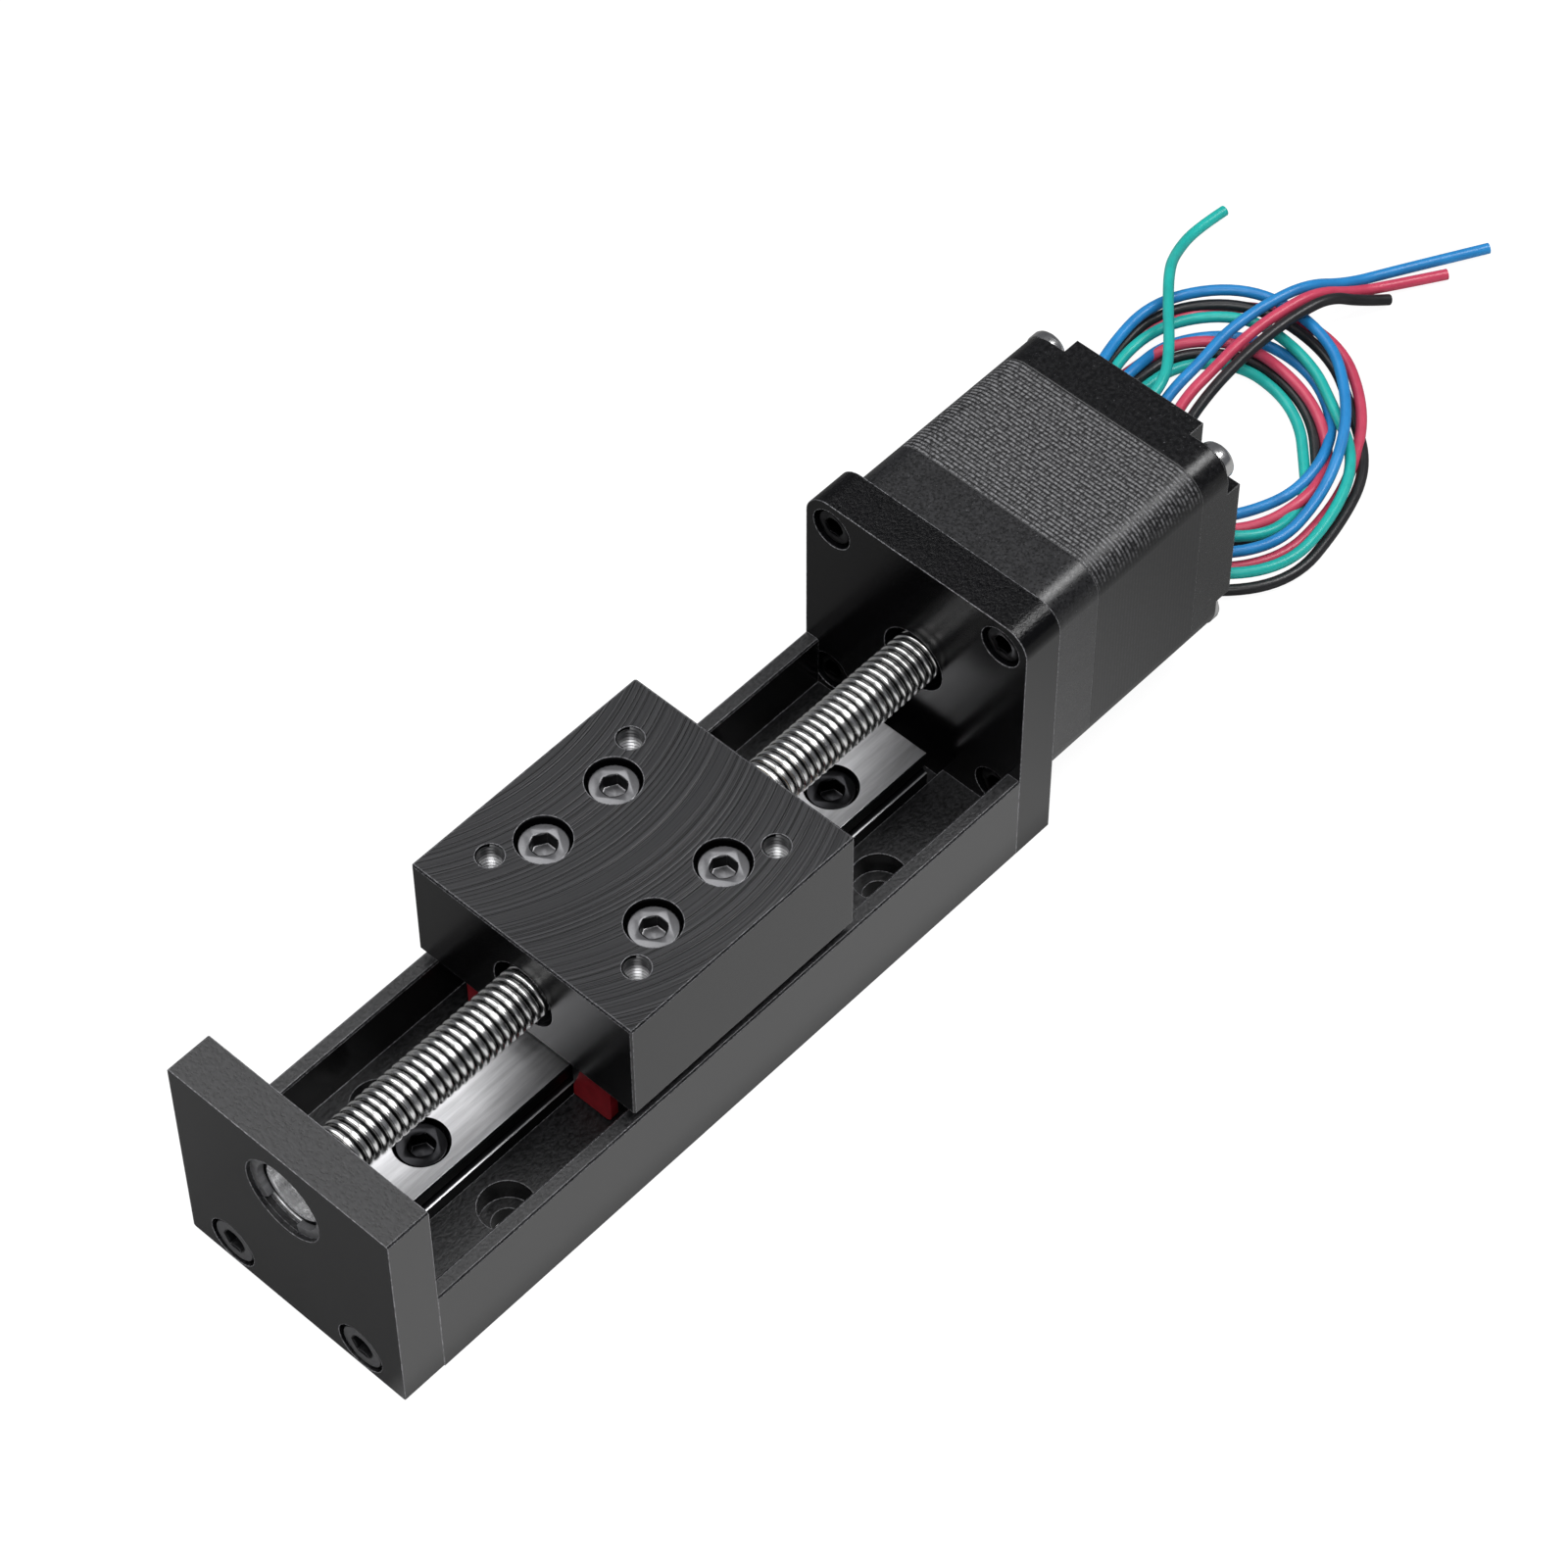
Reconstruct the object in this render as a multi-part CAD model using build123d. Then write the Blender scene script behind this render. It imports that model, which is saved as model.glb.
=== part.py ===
from build123d import *
import math
import os

# Compact linear stage: a U-channel base carries a profiled rail, and a fine-pitch lead screw is driven by a
# small square stepping motor. Units are mm. +X runs along the screw towards the motor, +Z is up and the
# origin is the centre of the base's bottom face.

# Base channel
BASE_LENGTH = 85.0
BASE_WIDTH = 30.0
BASE_HEIGHT = 12.3
WALL = 1.8
FLOOR = 5.3
EDGE_BREAK = 0.2
BASE_HOLE_PITCH_X = 55.0
BASE_HOLE_PITCH_Y = 18.0
TAP_DEPTH = 8.0

# Lead screw
AXIS_HEIGHT = 20.0
SCREW_D = 6.0
SCREW_END_GAP = 2.9
SCREW_END_CHAMFER = 0.4
SHAFT_D = 5.0

# End plate and its bearing
END_THICKNESS = 5.4
END_HEIGHT = 27.5
BEARING_OD = 10.0
BEARING_ID = 6.0
BEARING_WIDTH = 3.0
BEARING_INSET = 1.4
CLIP_THICKNESS = 0.8
CLIP_GROOVE = 0.3
CLIP_REACH = 0.95
CLIP_GAP_ANGLE = 58.0
CLIP_TURN = 106.0
SCREW_HOLE_D = 8.0
PLATE_SCREW_Y = 9.0
PLATE_SCREW_Z = 3.1

# Motor plate
MOUNT_THICKNESS = 5.2
MOUNT_HEIGHT = 35.0
MOUNT_CORNER = 3.0

# Motor: a square four-lead stepper
MOTOR_SIDE = 28.0
MOTOR_CORNER = 3.7
MOTOR_LENGTH = 30.0
FRONT_BELL = 7.2
REAR_BELL = 6.2
PILOT_D = 22.0
PILOT_HEIGHT = 1.8
PILOT_GAP = 0.2
BEARING_WALL = 1.0
MOTOR_HOLE_PITCH = 23.0
END_SPACE = 0.4
SEAT_WALL = 1.4
NOTCH_SIDE = 5.4
NOTCH_DEPTH = 2.1
MOTOR_BEARING_OD = 11.0
MOTOR_BEARING_WIDTH = 4.0
BALL_TO_WALL = 1.1
RACE_SHOULDER = 0.3
AIR_GAP = 0.3
ROTOR_D = 15.2
POLE_COUNT = 8
POLE_NECK = 3.4
POLE_SHOE = 1.0
BACK_IRON_R = 12.4
SLOT_MOUTH = 1.4
COIL_BUILD = 1.4
COIL_TO_SHOE = 0.25
COIL_TO_BACK = 0.45
COIL_TO_POLE = 0.1
COIL_OVERHANG = 1.8
MAGNET_LENGTH = 2.4
MAGNET_STEP = 1.2
CORE_LENGTH = 6.4

# Rail and its block
RAIL_WIDTH = 9.0
RAIL_HEIGHT = 6.5
RAIL_LENGTH = 80.0
RAIL_SEAT = 1.5
RAIL_HOLE_PITCH = 20.0
RAIL_HOLE_COUNT = 4
RAIL_HEAD_DEPTH = 3.5
BLOCK_WIDTH = 20.0
BLOCK_STEEL_LENGTH = 18.9
BLOCK_LENGTH = 28.9
BLOCK_TOP = 10.0
BLOCK_CLEAR = 2.0
END_SEAL = 1.0
END_CORNER = 0.8
RACE_DROP = 2.4
BALL_D = 1.6
BALLS_PER_ROW = 10
BLOCK_SCREW_PITCH_X = 10.0
BLOCK_SCREW_PITCH_Y = 15.0
BLOCK_TAP_DEPTH = 3.0

# Carriage
CARRIAGE_LENGTH = 32.0
CARRIAGE_WIDTH = 30.0
CARRIAGE_HEIGHT = 14.0
CARRIAGE_REST_X = 0.9
CARRIAGE_HEAD_DEPTH = 3.8
TOP_HOLE_PITCH = 20.0
TOP_HOLE_DEPTH = 8.0
NUT_OD = 11.0
NUT_LENGTH = 24.0

# Fasteners: (thread, head, head height, hexagon key or cross slot)
M3 = (3.0, 5.5, 3.0, 2.5)
M25 = (2.5, 4.5, 2.5, 2.0)
TIE_SCREW = (2.0, 4.4, 1.9, 2.4)
CROSS_SLOT = 0.5
HEAD_CHAMFER = 0.25
SOCKET_DEPTH = 0.55
TAP_RUNOUT = 0.5
HEAD_CLEARANCE = 0.5
SHANK_CLEARANCE = 0.4
THREAD_FIT = 0.02
PLATE_HEAD_DEPTH = 3.2
M3_LENGTH = 8.0
CARRIAGE_SCREW_LENGTH = 12.0
RAIL_SCREW_LENGTH = 6.0
MOTOR_SCREW_LENGTH = 6.0
MOTOR_HEAD_DEPTH = 2.9
TIE_SCREW_REACH = 3.3

# Clearances
SLIDE_CLEARANCE = 0.3
RUNNING_CLEARANCE = 0.05
PRESS_CLEARANCE = 0.02

# Leads
LEAD_D = 1.3
COIL_CENTRE = (100.9, 5.3)
COIL_OUTER = (24.2, 16.0)
COIL_INNER = (12.2, 8.6)
COIL_TURN = 37.0
COIL_HEIGHT = 4.0
GROMMET_FROM_REAR = 3.3
GROMMET_Z = 14.6
GROMMET_OUT = 1.3
GROMMET_IN = 3.0
GROMMET_HALF_X = 1.0
GROMMET_HALF_Z = 3.6

# Places worked out from the sizes above
END_OUTER_X = -BASE_LENGTH / 2 - END_THICKNESS
MOTOR_X = BASE_LENGTH / 2 + MOUNT_THICKNESS
MOTOR_REAR_X = MOTOR_X + MOTOR_LENGTH
STACK_X = MOTOR_X + FRONT_BELL
STACK_LENGTH = MOTOR_LENGTH - FRONT_BELL - REAR_BELL
TIE_SCREW_LENGTH = TIE_SCREW_REACH + STACK_LENGTH + REAR_BELL - NOTCH_DEPTH
GROMMET_X = MOTOR_REAR_X - GROMMET_FROM_REAR
RAIL_BOTTOM = FLOOR - RAIL_SEAT
RAIL_TOP = RAIL_BOTTOM + RAIL_HEIGHT
BLOCK_BOTTOM_Z = RAIL_BOTTOM + BLOCK_CLEAR
BLOCK_TOP_Z = RAIL_BOTTOM + BLOCK_TOP
CARRIAGE_TOP = BLOCK_TOP_Z + CARRIAGE_HEIGHT
CARRIAGE_BACK_X = CARRIAGE_REST_X - CARRIAGE_LENGTH / 2
CARRIAGE_FRONT_X = CARRIAGE_REST_X + CARRIAGE_LENGTH / 2
SCREW_START_X = END_OUTER_X + SCREW_END_GAP
BEARING_X = END_OUTER_X + BEARING_INSET
FRONT_BEARING_X = MOTOR_X + BEARING_WALL
REAR_BEARING_X = MOTOR_REAR_X - BEARING_WALL - MOTOR_BEARING_WIDTH
ROTOR_X = STACK_X + STACK_LENGTH / 2 - CORE_LENGTH - MAGNET_LENGTH / 2


def write(shape, name):
    export_step(shape, f"parts/{name}.step")


def group(solids):
    return Compound(children=list(solids))


def slab(x0, x1, y0, y1, z0, z1):
    """A box between two corners."""
    box = Box(x1 - x0, y1 - y0, z1 - z0)
    return Pos((x0 + x1) / 2, (y0 + y1) / 2, (z0 + z1) / 2) * box


def along_x(radius, x0, x1, y=0.0, z=AXIS_HEIGHT):
    """A round bar along X from x0 to x1."""
    bar = Cylinder(radius, x1 - x0)
    return Pos((x0 + x1) / 2, y, z) * Rot(0, 90, 0) * bar


def upright(radius, x, y, z0, z1):
    """A round bar along Z from z0 to z1."""
    return Pos(x, y, (z0 + z1) / 2) * Cylinder(radius, z1 - z0)


def square_x(side, corner, x0, x1):
    """A square bar with rounded corners about the screw's axis, from x0 to x1."""
    plane = Plane((x0, 0, AXIS_HEIGHT), x_dir=(0, 1, 0), z_dir=(1, 0, 0))
    return extrude(plane * RectangleRounded(side, side, corner), amount=x1 - x0)


def grid(pitch_x, pitch_y):
    """The four corners of a hole pattern."""
    return [(i * pitch_x / 2, j * pitch_y / 2) for i in (-1, 1) for j in (-1, 1)]


def socket_screw(size, length):
    """A socket head cap screw along Z: its head stands on z = 0 and its shank points down."""
    thread, head, height, key = size
    screw = Pos(0, 0, height / 2) * Cylinder(head / 2, height)
    screw = chamfer(screw.edges().group_by(Axis.Z)[-1], HEAD_CHAMFER)
    screw += Pos(0, 0, -length / 2) * Cylinder(thread / 2 - THREAD_FIT, length)
    hexagon = RegularPolygon(key / 2 / math.cos(math.pi / 6), 6)
    return screw - Pos(0, 0, height * (1 - SOCKET_DEPTH)) * extrude(hexagon, amount=height)


def counterbore(size, depth, length):
    """The hole for a cap screw along Z: its mouth is at z = 0 and it goes down through length."""
    thread, head = size[0], size[1]
    hole = Pos(0, 0, -depth / 2) * Cylinder((head + HEAD_CLEARANCE) / 2, depth)
    return hole + Pos(0, 0, -length / 2) * Cylinder((thread + SHANK_CLEARANCE) / 2, length)


def facing_left(x, y, z):
    """Turns a screw or hole so that its head faces -X."""
    return Pos(x, y, z) * Rot(0, -90, 0)


def facing_right(x, y, z):
    """Turns a screw or hole so that its head faces +X."""
    return Pos(x, y, z) * Rot(0, 90, 0)


def channel_section():
    """The channel's profile: a floor with a groove for the rail between two upright walls."""
    section = Pos(0, BASE_HEIGHT / 2) * Rectangle(BASE_WIDTH, BASE_HEIGHT)
    inside = BASE_HEIGHT - FLOOR
    section -= Pos(0, FLOOR + inside / 2) * Rectangle(BASE_WIDTH - 2 * WALL, inside)
    groove = RAIL_WIDTH + 2 * RUNNING_CLEARANCE
    section -= Pos(0, RAIL_BOTTOM + RAIL_SEAT / 2) * Rectangle(groove, RAIL_SEAT)
    return section


def base_channel():
    body = along_rail(channel_section(), -BASE_LENGTH / 2, BASE_LENGTH / 2)
    body = chamfer(body.edges().filter_by(Axis.X).group_by(Axis.Z)[-1], EDGE_BREAK)
    for x, y in grid(BASE_HOLE_PITCH_X, BASE_HOLE_PITCH_Y):
        body -= Pos(x, y, FLOOR) * counterbore(M3, M3[2], FLOOR)
    for x in rail_hole_places():
        tap_end = RAIL_TOP - RAIL_HEAD_DEPTH - RAIL_SCREW_LENGTH - TAP_RUNOUT
        body -= upright(M3[0] / 2, x, 0, tap_end, RAIL_BOTTOM)
    for y in (-PLATE_SCREW_Y, PLATE_SCREW_Y):
        end = BASE_LENGTH / 2
        body -= along_x(M3[0] / 2, -end, -end + TAP_DEPTH, y, PLATE_SCREW_Z)
        body -= along_x(M3[0] / 2, end - TAP_DEPTH, end, y, PLATE_SCREW_Z)
    return body


def rail_hole_places():
    first = -RAIL_HOLE_PITCH * (RAIL_HOLE_COUNT - 1) / 2
    return [first + i * RAIL_HOLE_PITCH for i in range(RAIL_HOLE_COUNT)]


def end_plate():
    """The plate at the free end, with the bearing pocket, the clip's groove and two sunk screws."""
    inner = -BASE_LENGTH / 2
    half = BASE_WIDTH / 2
    body = slab(END_OUTER_X, inner, -half, half, 0, END_HEIGHT)
    body = chamfer(body.edges().filter_by(Axis.X), EDGE_BREAK)
    pocket_end = BEARING_X + BEARING_WIDTH
    body -= along_x(BEARING_OD / 2, END_OUTER_X, pocket_end)
    body -= along_x(BEARING_OD / 2 + CLIP_GROOVE, BEARING_X - CLIP_THICKNESS, BEARING_X)
    body -= along_x(SCREW_HOLE_D / 2, END_OUTER_X, inner)
    for y in (-PLATE_SCREW_Y, PLATE_SCREW_Y):
        body -= facing_left(END_OUTER_X, y, PLATE_SCREW_Z) * counterbore(M3, PLATE_HEAD_DEPTH, END_THICKNESS)
    return body


def end_plate_screws():
    x = END_OUTER_X + PLATE_HEAD_DEPTH
    sides = (-PLATE_SCREW_Y, PLATE_SCREW_Y)
    return group(facing_left(x, y, PLATE_SCREW_Z) * socket_screw(M3, M3_LENGTH) for y in sides)


def retaining_ring():
    """An internal snap ring: an open flat ring with plain ends."""
    outer = BEARING_OD / 2 + CLIP_GROOVE - THREAD_FIT
    ring = Circle(outer) - Circle(BEARING_OD / 2 - CLIP_REACH)
    reach = 2 * outer
    rise = reach * math.tan(math.radians(CLIP_GAP_ANGLE / 2))
    ring -= Polygon((0, 0), (reach, -rise), (reach, rise), align=None)
    plane = Plane((BEARING_X - CLIP_THICKNESS, 0, AXIS_HEIGHT), x_dir=(0, -1, 0), z_dir=(1, 0, 0))
    return extrude(plane * (Rot(0, 0, CLIP_TURN) * ring), amount=CLIP_THICKNESS)


def bearing_sizes(outer_d, inner_d):
    """The radius of the balls' circle and the balls' diameter."""
    wall = (outer_d - inner_d) / 4
    return (outer_d + inner_d) / 4, wall * BALL_TO_WALL


def race_groove(x0, width, outer_d, inner_d):
    """The ring-shaped space that the balls run in."""
    pitch, ball = bearing_sizes(outer_d, inner_d)
    groove = Torus(pitch, ball / 2 + RUNNING_CLEARANCE)
    return Pos(x0 + width / 2, 0, AXIS_HEIGHT) * Rot(0, 90, 0) * groove


def outer_ring(x0, width, outer_d, inner_d):
    pitch, ball = bearing_sizes(outer_d, inner_d)
    ring = along_x(outer_d / 2 - PRESS_CLEARANCE, x0, x0 + width)
    ring -= along_x(pitch + ball * RACE_SHOULDER, x0, x0 + width)
    return ring - race_groove(x0, width, outer_d, inner_d)


def inner_ring(x0, width, outer_d, inner_d):
    pitch, ball = bearing_sizes(outer_d, inner_d)
    ring = along_x(pitch - ball * RACE_SHOULDER, x0, x0 + width)
    ring -= along_x(inner_d / 2, x0, x0 + width)
    return ring - race_groove(x0, width, outer_d, inner_d)


def balls(x0, width, outer_d, inner_d, count):
    pitch, ball = bearing_sizes(outer_d, inner_d)
    places = [2 * math.pi * i / count for i in range(count)]
    middle = x0 + width / 2
    return group(
        Pos(middle, pitch * math.cos(a), AXIS_HEIGHT + pitch * math.sin(a)) * Sphere(ball / 2) for a in places
    )


def lead_screw():
    """The screw and motor shaft in one piece, with a journal at each end."""
    thread_start = BEARING_X + BEARING_WIDTH
    body = along_x(BEARING_ID / 2 - PRESS_CLEARANCE, SCREW_START_X, thread_start)
    body = chamfer(body.edges().group_by(Axis.X)[0], SCREW_END_CHAMFER)
    body += along_x(SCREW_D / 2, thread_start, FRONT_BEARING_X)
    shaft_end = REAR_BEARING_X + MOTOR_BEARING_WIDTH
    body += along_x(SHAFT_D / 2 - PRESS_CLEARANCE, FRONT_BEARING_X, shaft_end)
    return body


def linear_rail():
    """The rail: a bar with a ball groove along each side and sunk screw holes."""
    half = RAIL_WIDTH / 2
    section = Pos(0, RAIL_BOTTOM + RAIL_HEIGHT / 2) * Rectangle(RAIL_WIDTH, RAIL_HEIGHT)
    race_z = RAIL_TOP - RACE_DROP
    for side in (-1, 1):
        section -= Pos(side * (half + SLIDE_CLEARANCE / 2), race_z) * Circle(BALL_D / 2 + RUNNING_CLEARANCE)
    body = along_rail(section, -RAIL_LENGTH / 2, RAIL_LENGTH / 2)
    body = chamfer(body.edges().filter_by(Axis.X).group_by(Axis.Z)[-1], EDGE_BREAK)
    for x in rail_hole_places():
        body -= Pos(x, 0, RAIL_TOP) * counterbore(M3, RAIL_HEAD_DEPTH, RAIL_HEIGHT)
    return body


def rail_screws():
    z = RAIL_TOP - RAIL_HEAD_DEPTH
    return group(Pos(x, 0, z) * socket_screw(M3, RAIL_SCREW_LENGTH) for x in rail_hole_places())


def block_section(clearance):
    """The block's saddle profile round the rail, open below."""
    height = BLOCK_TOP_Z - BLOCK_BOTTOM_Z
    section = Pos(0, BLOCK_BOTTOM_Z + height / 2) * Rectangle(BLOCK_WIDTH, height)
    opening = RAIL_TOP + clearance - BLOCK_BOTTOM_Z
    section -= Pos(0, BLOCK_BOTTOM_Z + opening / 2) * Rectangle(RAIL_WIDTH + 2 * clearance, opening)
    return section


def along_rail(section, x0, x1):
    """Draws a profile given in Y and Z out along X."""
    return extrude(Plane((x0, 0, 0), x_dir=(0, 1, 0), z_dir=(1, 0, 0)) * section, amount=x1 - x0)


def block_places():
    """Where the steel body, the caps and the seals start and end along X."""
    steel = BLOCK_STEEL_LENGTH / 2
    seal = BLOCK_LENGTH / 2
    cap = seal - END_SEAL
    return steel, cap, seal


def rail_block():
    steel, _, _ = block_places()
    section = block_section(SLIDE_CLEARANCE)
    race_z = RAIL_TOP - RACE_DROP
    centre = RAIL_WIDTH / 2 + SLIDE_CLEARANCE / 2
    for side in (-1, 1):
        section -= Pos(side * centre, race_z) * Circle(BALL_D / 2 + THREAD_FIT)
    body = along_rail(section, CARRIAGE_REST_X - steel, CARRIAGE_REST_X + steel)
    for x, y in grid(BLOCK_SCREW_PITCH_X, BLOCK_SCREW_PITCH_Y):
        body -= upright(M3[0] / 2, CARRIAGE_REST_X + x, y, BLOCK_TOP_Z - BLOCK_TAP_DEPTH, BLOCK_TOP_Z)
    return body


def block_balls():
    """The loaded rows of balls between the rail and the block."""
    centre = RAIL_WIDTH / 2 + SLIDE_CLEARANCE / 2
    step = BLOCK_STEEL_LENGTH / (BALLS_PER_ROW + 1)
    start = CARRIAGE_REST_X - step * (BALLS_PER_ROW - 1) / 2
    return group(
        Pos(start + i * step, side * centre, RAIL_TOP - RACE_DROP) * Sphere(BALL_D / 2)
        for side in (-1, 1)
        for i in range(BALLS_PER_ROW)
    )


def block_ends(near, far):
    """A pair of saddle-shaped plates, one at each end of the block, with rounded outer corners."""
    plates = []
    for side in (-1, 1):
        x0, x1 = sorted((CARRIAGE_REST_X + side * near, CARRIAGE_REST_X + side * far))
        body = along_rail(block_section(SLIDE_CLEARANCE), x0, x1)
        corners = [e for e in body.edges().filter_by(Axis.X) if abs(e.center().Y) > BLOCK_WIDTH / 2 - 0.01]
        plates.append(fillet(corners, END_CORNER))
    return group(plates)


def block_end_caps():
    """The moulded caps that turn the balls round."""
    steel, cap, _ = block_places()
    return block_ends(steel, cap)


def block_end_seals():
    """The wiper plates outside the caps."""
    _, cap, seal = block_places()
    return block_ends(cap, seal)


def carriage_block():
    """The moving block: screw hole, nut bore, four sunk screws and four tapped holes in its top."""
    half = CARRIAGE_WIDTH / 2
    body = slab(CARRIAGE_BACK_X, CARRIAGE_FRONT_X, -half, half, BLOCK_TOP_Z, CARRIAGE_TOP)
    body = chamfer(body.edges(), EDGE_BREAK)
    body -= along_x(SCREW_HOLE_D / 2, CARRIAGE_BACK_X, CARRIAGE_FRONT_X)
    body -= along_x(NUT_OD / 2, CARRIAGE_FRONT_X - NUT_LENGTH, CARRIAGE_FRONT_X)
    for x, y in grid(BLOCK_SCREW_PITCH_X, BLOCK_SCREW_PITCH_Y):
        place = Pos(CARRIAGE_REST_X + x, y, CARRIAGE_TOP)
        body -= place * counterbore(M3, CARRIAGE_HEAD_DEPTH, CARRIAGE_HEIGHT)
    for x, y in grid(TOP_HOLE_PITCH, TOP_HOLE_PITCH):
        body -= upright(M3[0] / 2, CARRIAGE_REST_X + x, y, CARRIAGE_TOP - TOP_HOLE_DEPTH, CARRIAGE_TOP)
    return body


def carriage_screws():
    z = CARRIAGE_TOP - CARRIAGE_HEAD_DEPTH
    return group(
        Pos(CARRIAGE_REST_X + x, y, z) * socket_screw(M3, CARRIAGE_SCREW_LENGTH)
        for x, y in grid(BLOCK_SCREW_PITCH_X, BLOCK_SCREW_PITCH_Y)
    )


def lead_nut():
    start = CARRIAGE_FRONT_X - NUT_LENGTH
    nut = along_x(NUT_OD / 2 - PRESS_CLEARANCE, start, CARRIAGE_FRONT_X)
    nut = chamfer(nut.edges(), EDGE_BREAK)
    return nut - along_x(SCREW_D / 2 + RUNNING_CLEARANCE, start, CARRIAGE_FRONT_X)


def motor_hole_places():
    return [(y, AXIS_HEIGHT + z) for y, z in grid(MOTOR_HOLE_PITCH, MOTOR_HOLE_PITCH)]


def motor_mount():
    """The plate between base and motor, with the pilot's recess and the two sets of sunk screws."""
    inner = BASE_LENGTH / 2
    half = BASE_WIDTH / 2
    body = slab(inner, MOTOR_X, -half, half, 0, MOUNT_HEIGHT)
    top = body.edges().filter_by(Axis.X).group_by(Axis.Z)[-1]
    body = fillet(top, MOUNT_CORNER)
    body -= along_x(SCREW_HOLE_D / 2, inner, MOTOR_X)
    body -= along_x(PILOT_D / 2 + RUNNING_CLEARANCE, MOTOR_X - PILOT_HEIGHT - PILOT_GAP, MOTOR_X)
    for y, z in motor_hole_places():
        body -= facing_left(inner, y, z) * counterbore(M25, MOTOR_HEAD_DEPTH, MOUNT_THICKNESS)
    for y in (-PLATE_SCREW_Y, PLATE_SCREW_Y):
        body -= facing_right(MOTOR_X, y, PLATE_SCREW_Z) * counterbore(M3, PLATE_HEAD_DEPTH, MOUNT_THICKNESS)
    return body


def mount_base_screws():
    x = MOTOR_X - PLATE_HEAD_DEPTH
    sides = (-PLATE_SCREW_Y, PLATE_SCREW_Y)
    return group(facing_right(x, y, PLATE_SCREW_Z) * socket_screw(M3, M3_LENGTH) for y in sides)


def motor_mount_screws():
    x = BASE_LENGTH / 2 + MOTOR_HEAD_DEPTH
    return group(facing_left(x, y, z) * socket_screw(M25, MOTOR_SCREW_LENGTH) for y, z in motor_hole_places())


def motor_front_bell():
    """The front housing: pilot boss, bearing seat and the space for the windings' ends."""
    body = square_x(MOTOR_SIDE, MOTOR_CORNER, MOTOR_X, STACK_X)
    body += along_x(PILOT_D / 2, MOTOR_X - PILOT_HEIGHT, MOTOR_X)
    seat_end = FRONT_BEARING_X + MOTOR_BEARING_WIDTH
    body -= along_x(SCREW_HOLE_D / 2, MOTOR_X - PILOT_HEIGHT, FRONT_BEARING_X)
    body -= along_x(MOTOR_BEARING_OD / 2, FRONT_BEARING_X, seat_end)
    body -= along_x(BACK_IRON_R, seat_end, STACK_X)
    for y, z in motor_hole_places():
        body -= along_x(M25[0] / 2, MOTOR_X, STACK_X, y, z)
    return body


def stack_section():
    """The lamination's outline: eight poles with shoes, and four holes for the tie screws."""
    bore = ROTOR_D / 2 + AIR_GAP
    shoe = bore + POLE_SHOE
    section = RectangleRounded(MOTOR_SIDE, MOTOR_SIDE, MOTOR_CORNER) - Circle(bore)
    slots = Circle(BACK_IRON_R) - Circle(shoe)
    neck = Pos((bore + BACK_IRON_R) / 2, 0) * Rectangle(BACK_IRON_R - bore + 2 * POLE_SHOE, POLE_NECK)
    mouth = Pos((bore + shoe) / 2, 0) * Rectangle(2 * POLE_SHOE, SLOT_MOUTH)
    for i in range(POLE_COUNT):
        angle = 360 / POLE_COUNT * i
        slots -= Rot(0, 0, angle) * neck
        section -= Rot(0, 0, angle + 180 / POLE_COUNT) * mouth
    section -= slots
    for y, z in grid(MOTOR_HOLE_PITCH, MOTOR_HOLE_PITCH):
        section -= Pos(y, z) * Circle((TIE_SCREW[0] + SHANK_CLEARANCE) / 2)
    return section


def motor_stator_stack():
    plane = Plane((STACK_X, 0, AXIS_HEIGHT), x_dir=(0, 1, 0), z_dir=(1, 0, 0))
    return extrude(plane * stack_section(), amount=STACK_LENGTH)


def stator_windings():
    """One winding round each pole, its ends standing past the stack."""
    r0 = ROTOR_D / 2 + AIR_GAP + POLE_SHOE + COIL_TO_SHOE
    r1 = BACK_IRON_R - COIL_TO_BACK
    inner = POLE_NECK / 2 + COIL_TO_POLE
    outer = inner + COIL_BUILD
    end = STACK_X + STACK_LENGTH
    body = slab(STACK_X - COIL_OVERHANG, end + COIL_OVERHANG, -outer, outer, r0, r1)
    body -= slab(STACK_X - COIL_TO_POLE, end + COIL_TO_POLE, -inner, inner, r0, r1)
    turns = (360 / POLE_COUNT * i for i in range(POLE_COUNT))
    return group(Pos(0, 0, AXIS_HEIGHT) * Rot(turn, 0, 0) * body for turn in turns)


def motor_rear_bell():
    """The rear housing: notched corners for the tie screws, bearing seat and the leads' outlet."""
    start = STACK_X + STACK_LENGTH
    body = square_x(MOTOR_SIDE, MOTOR_CORNER, start, MOTOR_REAR_X)
    near = MOTOR_SIDE / 2 - NOTCH_SIDE
    notch = Pos(MOTOR_REAR_X, 0, AXIS_HEIGHT) * Box(2 * NOTCH_DEPTH, MOTOR_SIDE, MOTOR_SIDE)
    body -= notch - slab(start, MOTOR_REAR_X + NOTCH_DEPTH, -near, near, 0, 2 * MOTOR_SIDE) - slab(
        start, MOTOR_REAR_X + NOTCH_DEPTH, -MOTOR_SIDE, MOTOR_SIDE, AXIS_HEIGHT - near, AXIS_HEIGHT + near
    )
    body -= along_x(MOTOR_BEARING_OD / 2, REAR_BEARING_X, REAR_BEARING_X + MOTOR_BEARING_WIDTH)
    hollow = along_x(BACK_IRON_R, start, start + COIL_OVERHANG + END_SPACE)
    body -= hollow - along_x(MOTOR_BEARING_OD / 2 + SEAT_WALL, start, MOTOR_REAR_X)
    body -= along_x(MOTOR_BEARING_OD / 2 + SEAT_WALL, start, REAR_BEARING_X)
    for y, z in motor_hole_places():
        body -= along_x((TIE_SCREW[0] + SHANK_CLEARANCE) / 2, start, MOTOR_REAR_X, y, z)
    return body - grommet_block(MOTOR_SIDE / 2)


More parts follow.
